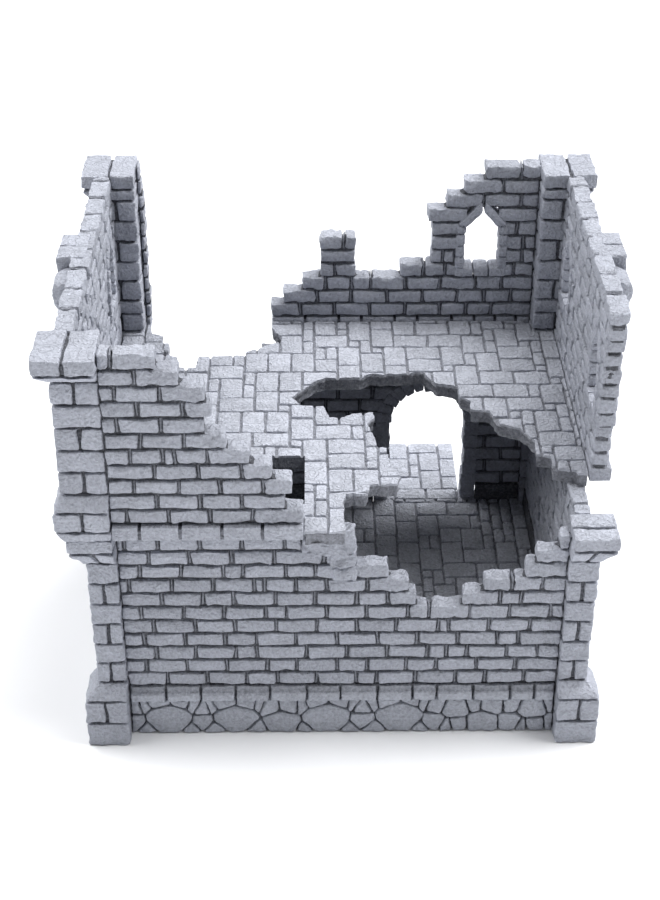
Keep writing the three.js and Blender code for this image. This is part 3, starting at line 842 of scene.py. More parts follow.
plinth = dict(
    gap=0.42, bevel=0.5, crown=0.12, reach=40, bandFoot=0.2, bandTop=12.9, standsOut=0.55,
    lip=1.5, bed=-0.7, waviness=0.34, waveSize=2.6, outlineStep=1.3, wornCorners=(0.1, 0.9),
    order=("lens", "lens", "bowl", "pair", "heap"),
    # each group: its width, then every stone's place across and up, and its reach
    groups=dict(
        lens=(14.6, [(0.5, 0.44, 6.3), (0.3, 1.0, 4.6), (0.72, 1.0, 4.4), (0.05, 0.9, 2.9),
                     (0.96, 0.92, 2.9), (0.08, 0.02, 3.2), (0.92, 0.02, 3.2)]),
        bowl=(11.2, [(0.5, 0.2, 5.0), (0.2, 0.85, 3.2), (0.72, 0.85, 3.6)]),
        pair=(5.6, [(0.5, 0.8, 2.6), (0.5, 0.3, 2.6)]),
        heap=(12.0, [(0.28, 0.85, 3.4), (0.75, 0.72, 4.3), (0.2, 0.25, 3.5), (0.55, 0.1, 2.6),
                     (0.85, 0.15, 3.2)])),
    string=dict(
        pitch=10.4, joint=0.75, step=1.3, waviness=0.3, hollowFrom=16.1, hollowShade=0.4,
        profile=[(13.0, -0.4), (13.1, 1.05), (13.5, 1.4), (14.6, 1.5), (15.5, 1.36), (15.95, 0.95),
                 (16.2, 0.5), (16.6, 0.2), (17.2, 0.06), (17.9, 0.05), (18.0, -0.4)]))


def clipped(polygon, point, normal):
    # the part of a convex outline that lies on the inner side of a line
    kept = []
    for p, q in zip(polygon, polygon[1:] + polygon[:1]):
        dp = (p[0] - point[0]) * normal[0] + (p[1] - point[1]) * normal[1]
        dq = (q[0] - point[0]) * normal[0] + (q[1] - point[1]) * normal[1]
        if dp <= 0:
            kept.append(p)
        if (dp < 0 < dq) or (dq < 0 < dp):
            t = dp / (dp - dq)
            kept.append((p[0] + t * (q[0] - p[0]), p[1] + t * (q[1] - p[1])))
    return kept


def rubbleCells(rng, start, end, low, high):
    # groups of stones side by side; each stone takes the ground nearest to its own centre,
    # and a big stone reaches further than a small one
    centres = []
    rise = high - low
    at = start - 1.5
    last = None
    while at < end:
        kind = rng.choice([k for k in plinth["order"] if k != last])
        width, group = plinth["groups"][kind]
        width *= rng.uniform(0.92, 1.1)
        for u, v, size in group:
            centres.append((at + width * (u + rng.uniform(-0.03, 0.03)),
                            low + rise * (v + rng.uniform(-0.03, 0.03)),
                            size * rng.uniform(0.93, 1.07)))
        at += width
        last = kind
    for i, (x, z, size) in enumerate(centres):
        cell = [(start, low), (end, low), (end, high), (start, high)]
        for j, (x2, z2, size2) in enumerate(centres):
            if i == j or abs(x2 - x) > plinth["reach"]:
                continue
            apart = math.hypot(x2 - x, z2 - z)
            normal = ((x2 - x) / apart, (z2 - z) / apart)
            share = 0.5 + (size ** 2 - size2 ** 2) / (2 * apart ** 2)
            reach = share * apart - plinth["gap"] / 2
            cell = clipped(cell, (x + normal[0] * reach, z + normal[1] * reach), normal)
            if len(cell) < 3:
                break
        if len(cell) >= 3:
            yield cell


def shrunk(polygon, amount):
    # every side of a convex outline moved in by the same amount
    inner = list(polygon)
    for p, q in zip(polygon, polygon[1:] + polygon[:1]):
        length = math.hypot(q[0] - p[0], q[1] - p[1])
        if length < 1e-6:
            continue
        normal = ((q[1] - p[1]) / length, -(q[0] - p[0]) / length)
        inner = clipped(inner, (p[0] - normal[0] * amount, p[1] - normal[1] * amount), normal)
        if len(inner) < 3:
            return None
    return inner


def addPolygonStone(heap, polygon, place, depths, cut, seed, tone):
    # a flat-faced stone raised from an outline; place turns (u, v, height) into a point
    area = sum(p[0] * q[1] - q[0] * p[1] for p, q in zip(polygon, polygon[1:] + polygon[:1]))
    if abs(area) < 1.2:
        return
    worn = []
    for p, q in zip(polygon, polygon[1:] + polygon[:1]):
        worn += [(p[0] + (q[0] - p[0]) * t, p[1] + (q[1] - p[1]) * t) for t in cut["wornCorners"]]
    polygon = worn
    outline = []
    for p, q in zip(polygon, polygon[1:] + polygon[:1]):
        parts = max(1, round(math.hypot(q[0] - p[0], q[1] - p[1]) / cut.get("outlineStep", 2.2)))
        outline += [(p[0] + (q[0] - p[0]) * i / parts, p[1] + (q[1] - p[1]) * i / parts)
                    for i in range(parts)]
    middle = (sum(p[0] for p in outline) / len(outline), sum(p[1] for p in outline) / len(outline))
    size = math.sqrt(abs(area) / 2)
    rings = [(1.0, depths[0]), (1.0, depths[1] - cut["bevel"]),
             (max(0.3, 1 - 0.45 * cut["bevel"] / size), depths[1] - cut["bevel"] * 0.35),
             (max(0.2, 1 - 1.3 * cut["bevel"] / size), depths[1]),
             (0.5, depths[1] + cut.get("crown", 0.05))]
    points, edge = [], []
    for share, depth in rings:
        for p in outline:
            u, v = middle[0] + (p[0] - middle[0]) * share, middle[1] + (p[1] - middle[1]) * share
            points.append(wavered(place(u, v, depth), cut["waviness"], cut["waveSize"], seed))
            # the bevel ring is marked as edge, lightened as wear with a painted highlight where it faces
            # up
            edge.append(0.6 if share in (rings[2][0],) and depth > depths[0] else 0.0)
    points.append(wavered(place(*middle, depths[1] + cut.get("crown", 0.05)),
                          cut["waviness"], cut["waveSize"], seed))
    edge.append(0.0)
    n = len(outline)
    faces = [tuple(range(n))[::-1]]
    for k in range(len(rings) - 1):
        for i in range(n):
            j = (i + 1) % n
            faces.append((k * n + i, k * n + j, (k + 1) * n + j, (k + 1) * n + i))
    last = (len(rings) - 1) * n
    faces += [(last + i, last + (i + 1) % n, len(points) - 1) for i in range(n)]
    # the faces point out when the outline goes anticlockwise seen from its own outside
    a, b, c = [Vector(place(*p)) for p in ((0, 0, 0), (1, 0, 0), (0, 1, 0))]
    out = Vector(place(0, 0, 1)) - a
    if ((b - a).cross(c - a).dot(out) > 0) != (area > 0):
        faces = [face[::-1] for face in faces]
    addShell(heap, points, faces, tone, edge)


def stringCourse(heap, rng, start, end, place, outward):
    # stones with a moulded face: a round lip below a hollow
    string = plinth["string"]
    at = start
    while at < end - 0.5:
        width = rng.uniform(6.0, 7.2) if rng.random() < 0.25 else string["pitch"] * rng.uniform(
            0.93, 1.05)
        stop = end if end - (at + width) < 3.5 else at + width
        a, b = at + string["joint"] / 2, stop - string["joint"] / 2
        parts = max(2, round((b - a) / string["step"]))
        across = [a, a + 0.25] + [a + (b - a) * i / parts for i in range(1, parts)] + [b - 0.25, b]
        seed, tone = rng.uniform(0, 90), rng.uniform(-1, 1)
        points, shade = [], []
        count = len(string["profile"]) + 2
        for n, u in enumerate(across):
            back = 0.45 if n in (0, len(across) - 1) else 0.0
            section = [(string["profile"][0][0], -1.4)]
            section += [(z, s - back) for z, s in string["profile"]]
            section.append((string["profile"][-1][0], -1.4))
            points += [wavered(place(u, z, s), string["waviness"], 2.6, seed) for z, s in section]
            # the hollow above the lip is darkened with painted shade, standing for the shadow under the
            # bricks
            shade += [string["hollowShade"] if z > string["hollowFrom"] else 0.0
                      for z, s in section]
        faces = []
        for n in range(len(across) - 1):
            for k in range(count):
                j = (k + 1) % count
                faces.append((n * count + k, n * count + j, (n + 1) * count + j,
                              (n + 1) * count + k))
        faces.append(tuple(range(count))[::-1])
        faces.append(tuple((len(across) - 1) * count + k for k in range(count)))
        if outward:
            faces = [face[::-1] for face in faces]
        addShell(heap, points, faces, tone, recess=shade)
        at = stop


def plinthPiece(name, node, along, side, seed):
    rng = random.Random(seed)
    low, high = nodeBox(node)
    axis = 0 if along == "x" else 1
    start, end = low[axis], high[axis]
    across = 1 - axis
    wallFace = max(abs(low[across]), abs(high[across])) - plinth["lip"]

    def place(u, z, out):
        v = side * (wallFace + out)
        return (u, v, z) if along == "x" else (v, u, z)

    heap = newHeap()
    inner = min(abs(low[across]), abs(high[across]))
    # a backing box behind the stones, darkened in full with painted shade where it shows in the gaps
    corners = [place(start, 0.15, inner - wallFace), place(end, 18.0, plinth["bed"])]
    addBox(heap, [min(p) for p in zip(*corners)], [max(p) for p in zip(*corners)],
           dict(edgeRadius=0.1, waviness=0.05, waveSize=3, step=4, most=30), seed, recess=1.0)
    for cell in rubbleCells(rng, start, end, plinth["bandFoot"], plinth["bandTop"]):
        small = shrunk(cell, 0.05)
        if small:
            addPolygonStone(heap, small, place, (plinth["bed"] - 0.4, plinth["standsOut"]), plinth,
                            rng.uniform(0, 90), rng.uniform(-1, 1))
    mirrored = (side < 0) == (along == "x")
    stringCourse(heap, rng, start, end, place, mirrored)
    piece = makePiece(name, heap, "rubble")
    finishPiece(piece, "ground_storey", [node])


for name, node, along, side, seed in (
        ("plinthFront", "plinth_front", "x", -1, 61), ("plinthBackLeft", "plinth_back_left", "x", 1, 62),
        ("plinthBackRight", "plinth_back_right", "x", 1, 63), ("plinthLeft", "plinth_left", "y", -1, 64),
        ("plinthRight", "plinth_right", "y", 1, 65)):
    plinthPiece(name, node, along, side, seed)
print("plinths built")

# paved floors

paving = dict(
    cell=(3.63, 3.8), joint=0.62, thickness=2.2, edgeRadius=0.62, waviness=0.95, waveSize=4.5,
    chipping=0.55, seed=7.0, bed=1.0, plans=24, shapes=[(3, 2, 14), (2, 3, 7), (2, 2, 3)],
    fillers=[(2, 2), (1, 2), (2, 1), (1, 1)])


def pavePlan(rng, x0, x1, y0, y1):
    # squares and oblongs on a small grid, with little stones in what is left over
    cellX, cellY = paving["cell"]
    wide, deep = int((x1 - x0) / cellX) + 1, int((y1 - y0) / cellY) + 1
    taken = np.zeros((wide, deep), bool)
    bag = [s[:2] for s in paving["shapes"] for _ in range(s[2])]
    stones = []

    def put(i, j, w, d):
        if i + w > wide or j + d > deep or taken[i:i + w, j:j + d].any():
            return False
        taken[i:i + w, j:j + d] = True
        stones.append((x0 + i * cellX, y0 + j * cellY,
                       x0 + (i + w) * cellX, y0 + (j + d) * cellY))
        return True

    below = [(-1, 0)] * (wide + 6)

    def fault(i, j, w, d):
        # a poor choice runs a joint on from the row before, or is one more small filler
        runsOn = (i == below[i][0]) + (i + w == sum(below[i + w - 1]))
        same = i > 0 and (taken[:, j + d:j + d + 1].any() and taken[i - 1, min(j + d, deep - 1)]
                          != taken[i - 1, min(j + d - 1, deep - 1)])
        return 0.9 * runsOn + 0.7 * bool(same) + 0.45 * max(0, 6 - w * d) + rng.random()

    for j in range(deep):
        for i in range(wide):
            if taken[i, j]:
                continue
            tries = [rng.choice(bag) for _ in range(4)] + paving["fillers"]
            for w, d in sorted(tries, key=lambda size: fault(i, j, *size)):
                if put(i, j, w, d):
                    below[i:i + w] = [(i, w)] * w
                    break
    return stones


def boxClip(outline, x0, y0, x1, y1):
    cut = list(outline)
    for point, normal in (((x0, 0), (-1, 0)), ((x1, 0), (1, 0)), ((0, y0), (0, -1)),
                          ((0, y1), (0, 1))):
        cut = clipped(cut, point, normal)
        if len(cut) < 3:
            return []
    tidy = []
    for p in cut:
        if not tidy or math.hypot(p[0] - tidy[-1][0], p[1] - tidy[-1][1]) > 0.05:
            tidy.append(p)
    return tidy


def outlineArea(polygon):
    return sum(p[0] * q[1] - q[0] * p[1] for p, q in zip(polygon, polygon[1:] + polygon[:1])) / 2


def ragged(outline, broken, rng):
    # points every millimetre or so along the broken sides, each knocked in or out a little
    result = []
    for p, q in zip(outline, outline[1:] + outline[:1]):
        result.append(p)
        if p not in broken or q not in broken:
            continue
        length = math.hypot(q[0] - p[0], q[1] - p[1])
        parts = max(1, round(length / 1.1))
        normal = ((q[1] - p[1]) / max(length, 0.01), -(q[0] - p[0]) / max(length, 0.01))
        for i in range(1, parts):
            t = i / parts
            knock = rng.uniform(-0.28, 0.28)
            result.append((p[0] + (q[0] - p[0]) * t + normal[0] * knock,
                           p[1] + (q[1] - p[1]) * t + normal[1] * knock))
    return result


def addSlab(heap, outline, low, high, broken, seed, margin=0.0):
    # a slab a little inside its outline; where it is broken its side is hollowed and scalloped
    count = len(outline)
    levels = [high, high - 0.35, high - 1.3, high - 2.6, high - 3.8, low]
    insets = [0.12, 0.0, 0.25, 0.5, 0.35, 0.55]
    if not broken:
        levels, insets = [high, low], [0.0, 0.0]
    points = []
    turn = 1 if outlineArea(outline) > 0 else -1
    for level, inset in zip(levels, insets):
        for i, p in enumerate(outline):
            before, after = outline[i - 1], outline[(i + 1) % count]
            across = Vector((after[1] - before[1], before[0] - after[0])).normalized() * turn
            moved = -margin
            if p in broken:
                spot = Vector((p[0] / 2.4, p[1] / 2.4, level / 1.7 + seed))
                moved = -inset + noise.noise(spot) * 0.55 * (0 if level == high else 1)
            points.append((p[0] + across[0] * moved, p[1] + across[1] * moved, level))
    faces = []
    for k in range(len(levels) - 1):
        for i in range(count):
            j = (i + 1) % count
            faces.append(((k + 1) * count + i, (k + 1) * count + j, k * count + j, k * count + i))
    flat = tessellate_polygon([[Vector((x, y, 0)) for x, y in outline]])
    for a, b, c in flat:
        area = outlineArea([outline[a], outline[b], outline[c]])
        if abs(area) < 1e-9:
            continue
        if area * turn < 0:
            b, c = c, b
        faces.append((a, b, c))
        bottom = (len(levels) - 1) * count
        faces.append((bottom + c, bottom + b, bottom + a))
    if turn < 0:
        faces = [face[::-1] for face in faces]
    # the bed shows in the joints between the stones and is darkened in full with painted shade
    addShell(heap, points, faces, recess=1.0)


def calmPlan(seed, *limits):
    # the one of several plans that has the fewest narrow stones
    def narrow(plan):
        return sum(min(x1 - x0, y1 - y0) < 1.5 * paving["cell"][0] for x0, y0, x1, y1 in plan)
    plans = [pavePlan(random.Random(seed + n), *limits) for n in range(paving["plans"])]
    return min(plans, key=narrow)


def cutToOutline(piece, outline, low, high):
    # keeps only what stands on the outline, so that stones at an edge are broken off with it
    heap = newHeap()
    addSlab(heap, outline, low, high, set(), 0)
    cutter = makePiece("cutter", heap, "paving")
    knife = piece.modifiers.new("cut", "BOOLEAN")
    knife.operation, knife.object, knife.solver = "INTERSECT", cutter, "EXACT"
    graph = bpy.context.evaluated_depsgraph_get()
    kept = bpy.data.meshes.new_from_object(
        piece.evaluated_get(graph), preserve_all_data_layers=True, depsgraph=graph)
    piece.modifiers.remove(knife)
    piece.data = kept
    bpy.data.objects.remove(cutter)
    return piece


def pavedPiece(name, body, nodes, outline, low, high, seed, broken=(), origin=None, extras=(),
               margin=0.15):
    rng = random.Random(seed)
    broken = set(broken)
    rough = ragged(outline, broken, rng)
    extraBroken = broken | {p for p in rough if p not in outline}
    xs, ys = [p[0] for p in outline], [p[1] for p in outline]
    start = origin or (min(xs), min(ys))
    stones = calmPlan(seed, start[0], max(xs), start[1], max(ys))
    whole, crossing = [], []
    thick = paving["thickness"]
    for x0, y0, x1, y1 in stones:
        half = paving["joint"] / 2
        size = (x1 - x0 - paving["joint"], y1 - y0 - paving["joint"], thick)
        kept = abs(outlineArea(boxClip(rough, x0 + half, y0 + half, x1 - half, y1 - half)))
        if kept < 2.0:
            continue
        turn = (0, 0, 0)
        area = size[0] * size[1]
        if size[1] > size[0]:
            size, turn = (size[1], size[0], thick), (0, 0, math.pi / 2)
        stone = dict(
            centre=((x0 + x1) / 2, (y0 + y1) / 2, high - thick / 2 + rng.uniform(-0.25, -0.05)),
            size=size, turn=turn, seed=rng.uniform(0, 90), tone=rng.uniform(-1, 1))
        (whole if kept > 0.995 * area else crossing).append(stone)
    bed = newHeap()
    addSlab(bed, rough, low, high - paving["bed"], extraBroken, seed, margin)
    parts = [layBlocks(name, whole, "paving", paving), makePiece(name + "Bed", bed, "paving")]
    if crossing:
        parts.append(cutToOutline(layBlocks(name + "Cut", crossing, "paving", paving), rough,
                                  high - paving["bed"] - 0.03, high + 2))
    piece = joined(name, parts + list(extras))
    finishPiece(piece, body, nodes, sharp=32)
    return piece


floorX, floorY = nodeBox("ground_floor")[1][:2]
cornerX, cornerY = endX, endY
groundFloorTop = nodeBox("ground_floor")[1][2]
crossPlan = [(-cornerX, -floorY), (cornerX, -floorY), (cornerX, -cornerY), (floorX, -cornerY),
             (floorX, cornerY), (cornerX, cornerY), (cornerX, floorY), (-cornerX, floorY),
             (-cornerX, cornerY), (-floorX, cornerY), (-floorX, -cornerY), (-cornerX, -cornerY)]
pavedPiece("groundFloorPaving", "ground_storey", ["ground_floor"], crossPlan, 0.2,
           groundFloorTop, 71)
low, high = nodeBox("landing")
skirt = dict(courses=2, deep=1.9, joint=0.5, pitch=9.5, edgeRadius=0.5, waviness=0.5,
             waveSize=3.2, step=1.2, most=12)
sideStones = newHeap()
rng = random.Random(76)
x0, y0, x1, y1 = low[0], low[1], high[0], high[1] - 0.3
skirtTop = groundFloorTop - 1.9
for course in range(skirt["courses"]):
    z0, z1 = [0.1 + (skirtTop - 0.1) * (course + s) / skirt["courses"] for s in (0, 1)]
    runs = (("y", x0, x0 + skirt["deep"], y0, y1), ("y", x1 - skirt["deep"], x1, y0, y1),
            ("x", y1 - skirt["deep"], y1, x0, x1))
    for along, near, far, start, end in runs:
        count = round((end - start) / skirt["pitch"])
        cuts = [start + (end - start) * (i + (0.45 if course and 0 < i < count else 0.0)) / count
                for i in range(count + 1)]
        for a, b in zip(cuts, cuts[1:]):
            a, b = a + skirt["joint"] / 2, b - skirt["joint"] / 2
            corners = ((near, a), (far, b)) if along == "y" else ((a, near), (b, far))
            addBox(sideStones, (*corners[0], z0 + 0.2), (*corners[1], z1 - 0.2), skirt,
                   rng.uniform(0, 90), tone=rng.uniform(-1, 1))
pavedPiece("landingPaving", "ground_storey", ["landing"], [(x0, y0), (x1, y0), (x1, y1), (x0, y1)],
           0.2, groundFloorTop, 72, margin=0.9,
           extras=[makePiece("landingSides", sideStones, "paving")])
low, high = nodeBox("door_threshold")
pavedPiece("thresholdPaving", "ground_storey", ["door_threshold"], [
    (low[0], low[1]), (high[0], low[1]), (high[0], high[1]), (low[0], high[1])], 0.2,
    groundFloorTop, 73)

slabLow, slabHigh = nodeBox("upper_floor")
slabX, slabY = slabHigh[0], slabHigh[1]
slotLeft, slotRight, slotFront, slotBack, tongueFront = -20.7, -10.7, -47.0, -24.4, slabLow[1]
nearEdgeOfHole = [
    (0.3, tongueFront), (-0.2, -47.9), (0.6, -43.6), (6.8, -43.2), (7.4, -39.0), (15.2, -38.5),
    (16.4, -34.6), (13.6, -29.7), (12.9, -20.8), (10.8, -20.4), (8.9, -12.1), (7.8, -8.0),
    (10.0, -4.0), (9.5, -1.3), (3.2, -2.4), (1.0, -4.1), (-3.5, -4.3), (-5.3, 2.2), (-11.5, 2.5),
    (-14.9, 6.8)]
farEdgeOfHole = [
    (-11.8, 11.4), (-7.9, 16.1), (-4.4, 18.6), (6.1, 18.4), (10.1, 21.0), (17.3, 20.3),
    (25.5, 22.2), (29.4, 14.9), (35.9, 12.6), (36.1, 8.1), (39.3, 4.7), (38.9, 0.1), (44.6, -1.0),
    (46.1, -7.2), (52.7, -10.4), (56.2, -17.2), (55.8, -24.1), (59.9, -25.4), (59.8, -30.8),
    (66.2, -32.4)]
brokenBackLeft = [
    (-21.6, 50.0), (-18.0, 43.5), (-19.1, 40.6), (-29.2, 35.0), (-29.7, 32.4), (-44.2, 31.6),
    (-44.7, 24.8), (-50.0, 24.9), (-52.5, 31.7), (-55.7, 33.8), (-56.8, 44.4), (-60.4, 46.6)]
rightEnd = -33.8
upperPlan = [(-cornerX, -slabY), (slotLeft, -slabY), (slotLeft, slotBack), (slotRight, slotBack),
             (slotRight, tongueFront), *nearEdgeOfHole, *farEdgeOfHole, (66.6, rightEnd),
             (slabX, rightEnd), (slabX, cornerY), (cornerX, cornerY), (cornerX, slabY),
             (-21.6, slabY), *brokenBackLeft, (-60.9, slabY), (-cornerX, slabY),
             (-cornerX, cornerY), (-slabX, cornerY), (-slabX, -cornerY), (-cornerX, -cornerY)]
brokenCorners = [*nearEdgeOfHole, *farEdgeOfHole, *brokenBackLeft, (66.6, rightEnd),
                 (slotRight, tongueFront)]
# a rough lump closes the front of the slot
lumps = newHeap()
addBox(lumps, (slotLeft - 0.4, -slabY, slabLow[2]), (slotRight + 0.4, slotFront, slabHigh[2] - 0.2),
       lump, 31, tone=0.3)
pavedPiece("upperFloorPaving", "upper_storey", ["upper_floor"], upperPlan, slabLow[2],
           slabHigh[2], 74, broken=brokenCorners, origin=(-69.57, -61.3),
           extras=[makePiece("slotLump", lumps, "paving")])
print("floors paved")

# ledges under the upper walls

ledge = dict(edgeRadius=0.4, waviness=0.34, waveSize=3.6, chipping=0.2, seed=5.0, joint=0.9,
             notch=1.1, standsProud=0.45)


def ledgePiece(name, node, along, seed):
    rng = random.Random(seed)
    low, high = nodeBox(node)
    axis = 0 if along == "x" else 1
    start, end = low[axis], high[axis]
    v0, v1 = low[1 - axis], high[1 - axis]
    blocks = []
    at = start
    while at < end - 0.5:
        stop = at + rng.choice((6.8, 10.9, 11.2, 7.4))
        stop = end if end - stop < 4 else stop
        left = at + (ledge["joint"] / 2 if at != start else 0)
        right = stop - (ledge["joint"] / 2 if stop != end else 0)
        # the stone itself, then a lower block in the joint after it that is darkened with painted shade
        for a, b, inset, top, recess in ((left, right, 0.08, high[2] - 0.1, 0.0),
                                         (right - 0.3, right + ledge["joint"] + 0.3,
                                          ledge["standsProud"], high[2] - ledge["notch"], 0.8)):
            if recess and stop == end:
                continue
            centre = [(a + b) / 2, (v0 + v1) / 2, (low[2] + top) / 2]
            size = [b - a, v1 - v0 - 2 * inset, top - low[2]]
            turn = (0, 0, 0)
            if along == "y":
                centre[0], centre[1] = centre[1], centre[0]
                turn = (0, 0, math.pi / 2)
            blocks.append(dict(centre=centre, size=size, turn=turn, seed=rng.uniform(0, 90),
                               tone=rng.uniform(-1, 1), recess=recess))
        at = stop
    piece = layBlocks(name, blocks, "dressed_stone", ledge)
    finishPiece(piece, "upper_storey", [node])


for name, node, along, seed in (
        ("ledgeFront", "ledge_front", "x", 81), ("ledgeBack", "ledge_back", "x", 82),
        ("ledgeBackLeft", "ledge_back_left", "x", 83), ("ledgeLeft", "ledge_left", "y", 84),
        ("ledgeRight", "ledge_right", "y", 85)):
    ledgePiece(name, node, along, seed)
print("ledges laid")

# door arch and window frames

archCut = dict(edgeRadius=0.4, waviness=0.3, waveSize=2.6, step=1.0, most=12)
frameCut = dict(edgeRadius=0.55, waviness=0.24, waveSize=2.2, step=0.9, most=12)


def addRingStone(heap, inner, outer, near, far, place, cut, seed, tone):
    # a stone between two points of an inner line and the two beside them on an outer line
    (i0, i1), (o0, o1) = inner, outer
    foot = [place(*i0, near), place(*o0, near), place(*o1, near), place(*i1, near)]
    head = [place(*i0, far), place(*o0, far), place(*o1, far), place(*i1, far)]
    a, b, d, up = [Vector(p) for p in (foot[0], foot[1], foot[3], head[0])]
    if (b - a).cross(d - a).dot(up - a) < 0:
        foot, head = foot[::-1], head[::-1]
    addStone(heap, foot, head, cut, seed, tone=tone)


def archPiece():
    rng = random.Random(91)
    low, high = nodeBox("door_arch")
    heap = newHeap()

    def place(u, z, v):
        return (u, v, z)

    def spot(radius, angle):
        return (door["centre"] - radius * math.cos(angle), door["springing"] + radius * math.sin(angle))

    joint = 0.12
    stones = 13
    inner, outer = door["radius"], door["radius"] + door["frame"] - 0.1
    for i in range(stones):
        a, b = [math.pi * (i + s) / stones for s in (0, 1)]
        a, b = a + joint / 2 / inner, b - joint / 2 / inner
        drop = rng.uniform(-1.0, -0.35)
        addRingStone(heap, (spot(inner + drop, a), spot(inner + drop * 0.4, b)),
                     (spot(outer, a), spot(outer, b)), low[1] + rng.uniform(0, 0.3),
                     high[1] - rng.uniform(0, 0.3), place, archCut, rng.uniform(0, 90),
                     rng.uniform(-1, 1))
    rise = door["springing"] - low[2]
    courses = 6
    for side in (-1, 1):
        for i in range(courses):
            z0, z1 = low[2] + rise * i / courses, low[2] + rise * (i + 1) / courses
            z0, z1 = z0 + joint / 2, z1 - joint / 2
            shift = rng.uniform(-0.8, 0.1)
            a, b = door["centre"] + side * (inner + shift), door["centre"] + side * outer
            addRingStone(heap, ((a, z0), (a, z1)), ((b, z0), (b, z1)), low[1] + rng.uniform(0, 0.3),
                         high[1] - rng.uniform(0, 0.3), place, archCut, rng.uniform(0, 90),
                         rng.uniform(-1, 1))
    piece = makePiece("doorArchStones", heap, "dressed_stone")
    finishPiece(piece, "ground_storey", ["door_arch"])


archPiece()


def framePiece(name, node, along, centre, sill, seed):
    rng = random.Random(seed)
    low, high = nodeBox(node)
    across = 1 if along == "x" else 0
    near, far = low[across], high[across]
    heap = newHeap()
    outerShape = dict(half=lancet["half"] + lancet["frame"] - 0.1, springing=lancet["springing"],
                      apex=lancet["apex"] + lancet["frameApex"])

    def place(u, z, v):
        return (u, v, z) if along == "x" else (v, u, z)

    def stone(inner, outer):
        addRingStone(heap, inner, outer, near + rng.uniform(0, 0.25), far - rng.uniform(0, 0.25),
                     place, frameCut, rng.uniform(0, 90), rng.uniform(-1, 1))

    joint = 0.28
    jambs = round((lancet["springing"] - sill) / 3.9)
    rise = lancet["springing"] - sill
    for side in (-1, 1):
        for i in range(jambs):
            z0, z1 = sill + rise * i / jambs + joint / 2, sill + rise * (i + 1) / jambs - joint / 2
            a = centre + side * (lancet["half"] + rng.uniform(-0.1, 0.25))
            b = centre + side * (outerShape["half"] + rng.uniform(-0.25, 0.0))
            stone(((a, z0), (a, z1)), ((b, z0), (b, z1)))
        # the curved part: stones that lean in towards the point
        shares = [0.0, 0.3, 1.0]
        for s0, s1 in zip(shares, shares[1:]):
            s0, s1 = s0 + 0.02, s1 - 0.02 if s1 < 1 else 0.985
            spots = []
            for shape in (lancet, outerShape):
                for s in (s0, s1):
                    z = shape["springing"] + (shape["apex"] - shape["springing"]) * s
                    spots.append((centre + side * max(0.15, lancetHalf(z, shape)), z))
            stone(spots[:2], spots[2:])
    widths = [0.0, 0.36, 0.66, 1.0]
    left, full = centre - outerShape["half"], 2 * outerShape["half"]
    for w0, w1 in zip(widths, widths[1:]):
        a, b = left + full * w0 + joint / 2, left + full * w1 - joint / 2
        stone(((a, sill - lancet["frame"] + 0.1), (a, sill)),
              ((b, sill - lancet["frame"] + 0.1), (b, sill)))
    piece = makePiece(name, heap, "dressed_stone")
    finishPiece(piece, "upper_storey", [node])


framePiece("lancetFrameBack", "window_frame_back", "x", 45.5, lancetSill, 92)
for side in sides:
    for where, y in sideLights.items():
        framePiece(f"lancetFrame{side.title()}{where}", f"window_frame_{side}_{where.lower()}",
                   "y", y, lancetSill, 93 + len(finished))
print("arch and window frames built")

# pilasters, caps and brackets on the outside

pilasterCut = dict(
    edgeRadius=0.5, waviness=0.35, waveSize=3.0, step=1.0, most=14, capInner=71.2)
for side, sideX in sides.items():
    rng = random.Random(110 + sideX)
    heap = newHeap()
    low, high = nodeBox(f"pilaster_{side}")
    courses = 8
    for i in range(courses):
        z0 = low[2] + (high[2] - low[2]) * i / courses + 0.25
        z1 = low[2] + (high[2] - low[2]) * (i + 1) / courses - 0.25
        middle = (low[1] + high[1]) / 2 + rng.uniform(-0.4, 0.4)
        spans = [(low[1], high[1])] if i % 2 else [(low[1], middle - 0.3), (middle + 0.3, high[1])]
        for a, b in spans:
            addBox(heap, (low[0], a, z0), (high[0], b, z1), pilasterCut, rng.uniform(0, 90),
                   tone=rng.uniform(-1, 1))
    back = min(low[0], high[0], key=abs)
    front = max(low[0], high[0], key=abs) - sideX * 0.7
    # a core behind the pilaster's stones, darkened in full with painted shade where it shows in the
    # joints
    addBox(heap, (min(back, front), low[1] + 0.5, low[2]), (max(back, front), high[1] - 0.5, high[2]),
           dict(pilasterCut, waviness=0.04), 5, recess=1.0, divisions=(3, 3, 3))
    capLow, capHigh = nodeBox(f"pilaster_cap_{side}")
    middle = (capLow[1] + capHigh[1]) / 2
    overWall = sideX * pilasterCut["capInner"]
    capLow[0], capHigh[0] = sorted((overWall, max(capLow[0], capHigh[0], key=abs)))
    for a, b in ((capLow[1], middle - 0.3), (middle + 0.3, capHigh[1])):
        addBox(heap, (capLow[0], a, capLow[2]), (capHigh[0], b, capHigh[2] - 0.05), pilasterCut,
               rng.uniform(0, 90), tone=rng.uniform(-1, 1))
    piece = makePiece(f"pilaster{side.title()}", heap, "dressed_stone")
    finishPiece(piece, "upper_storey", [f"pilaster_{side}", f"pilaster_cap_{side}"])

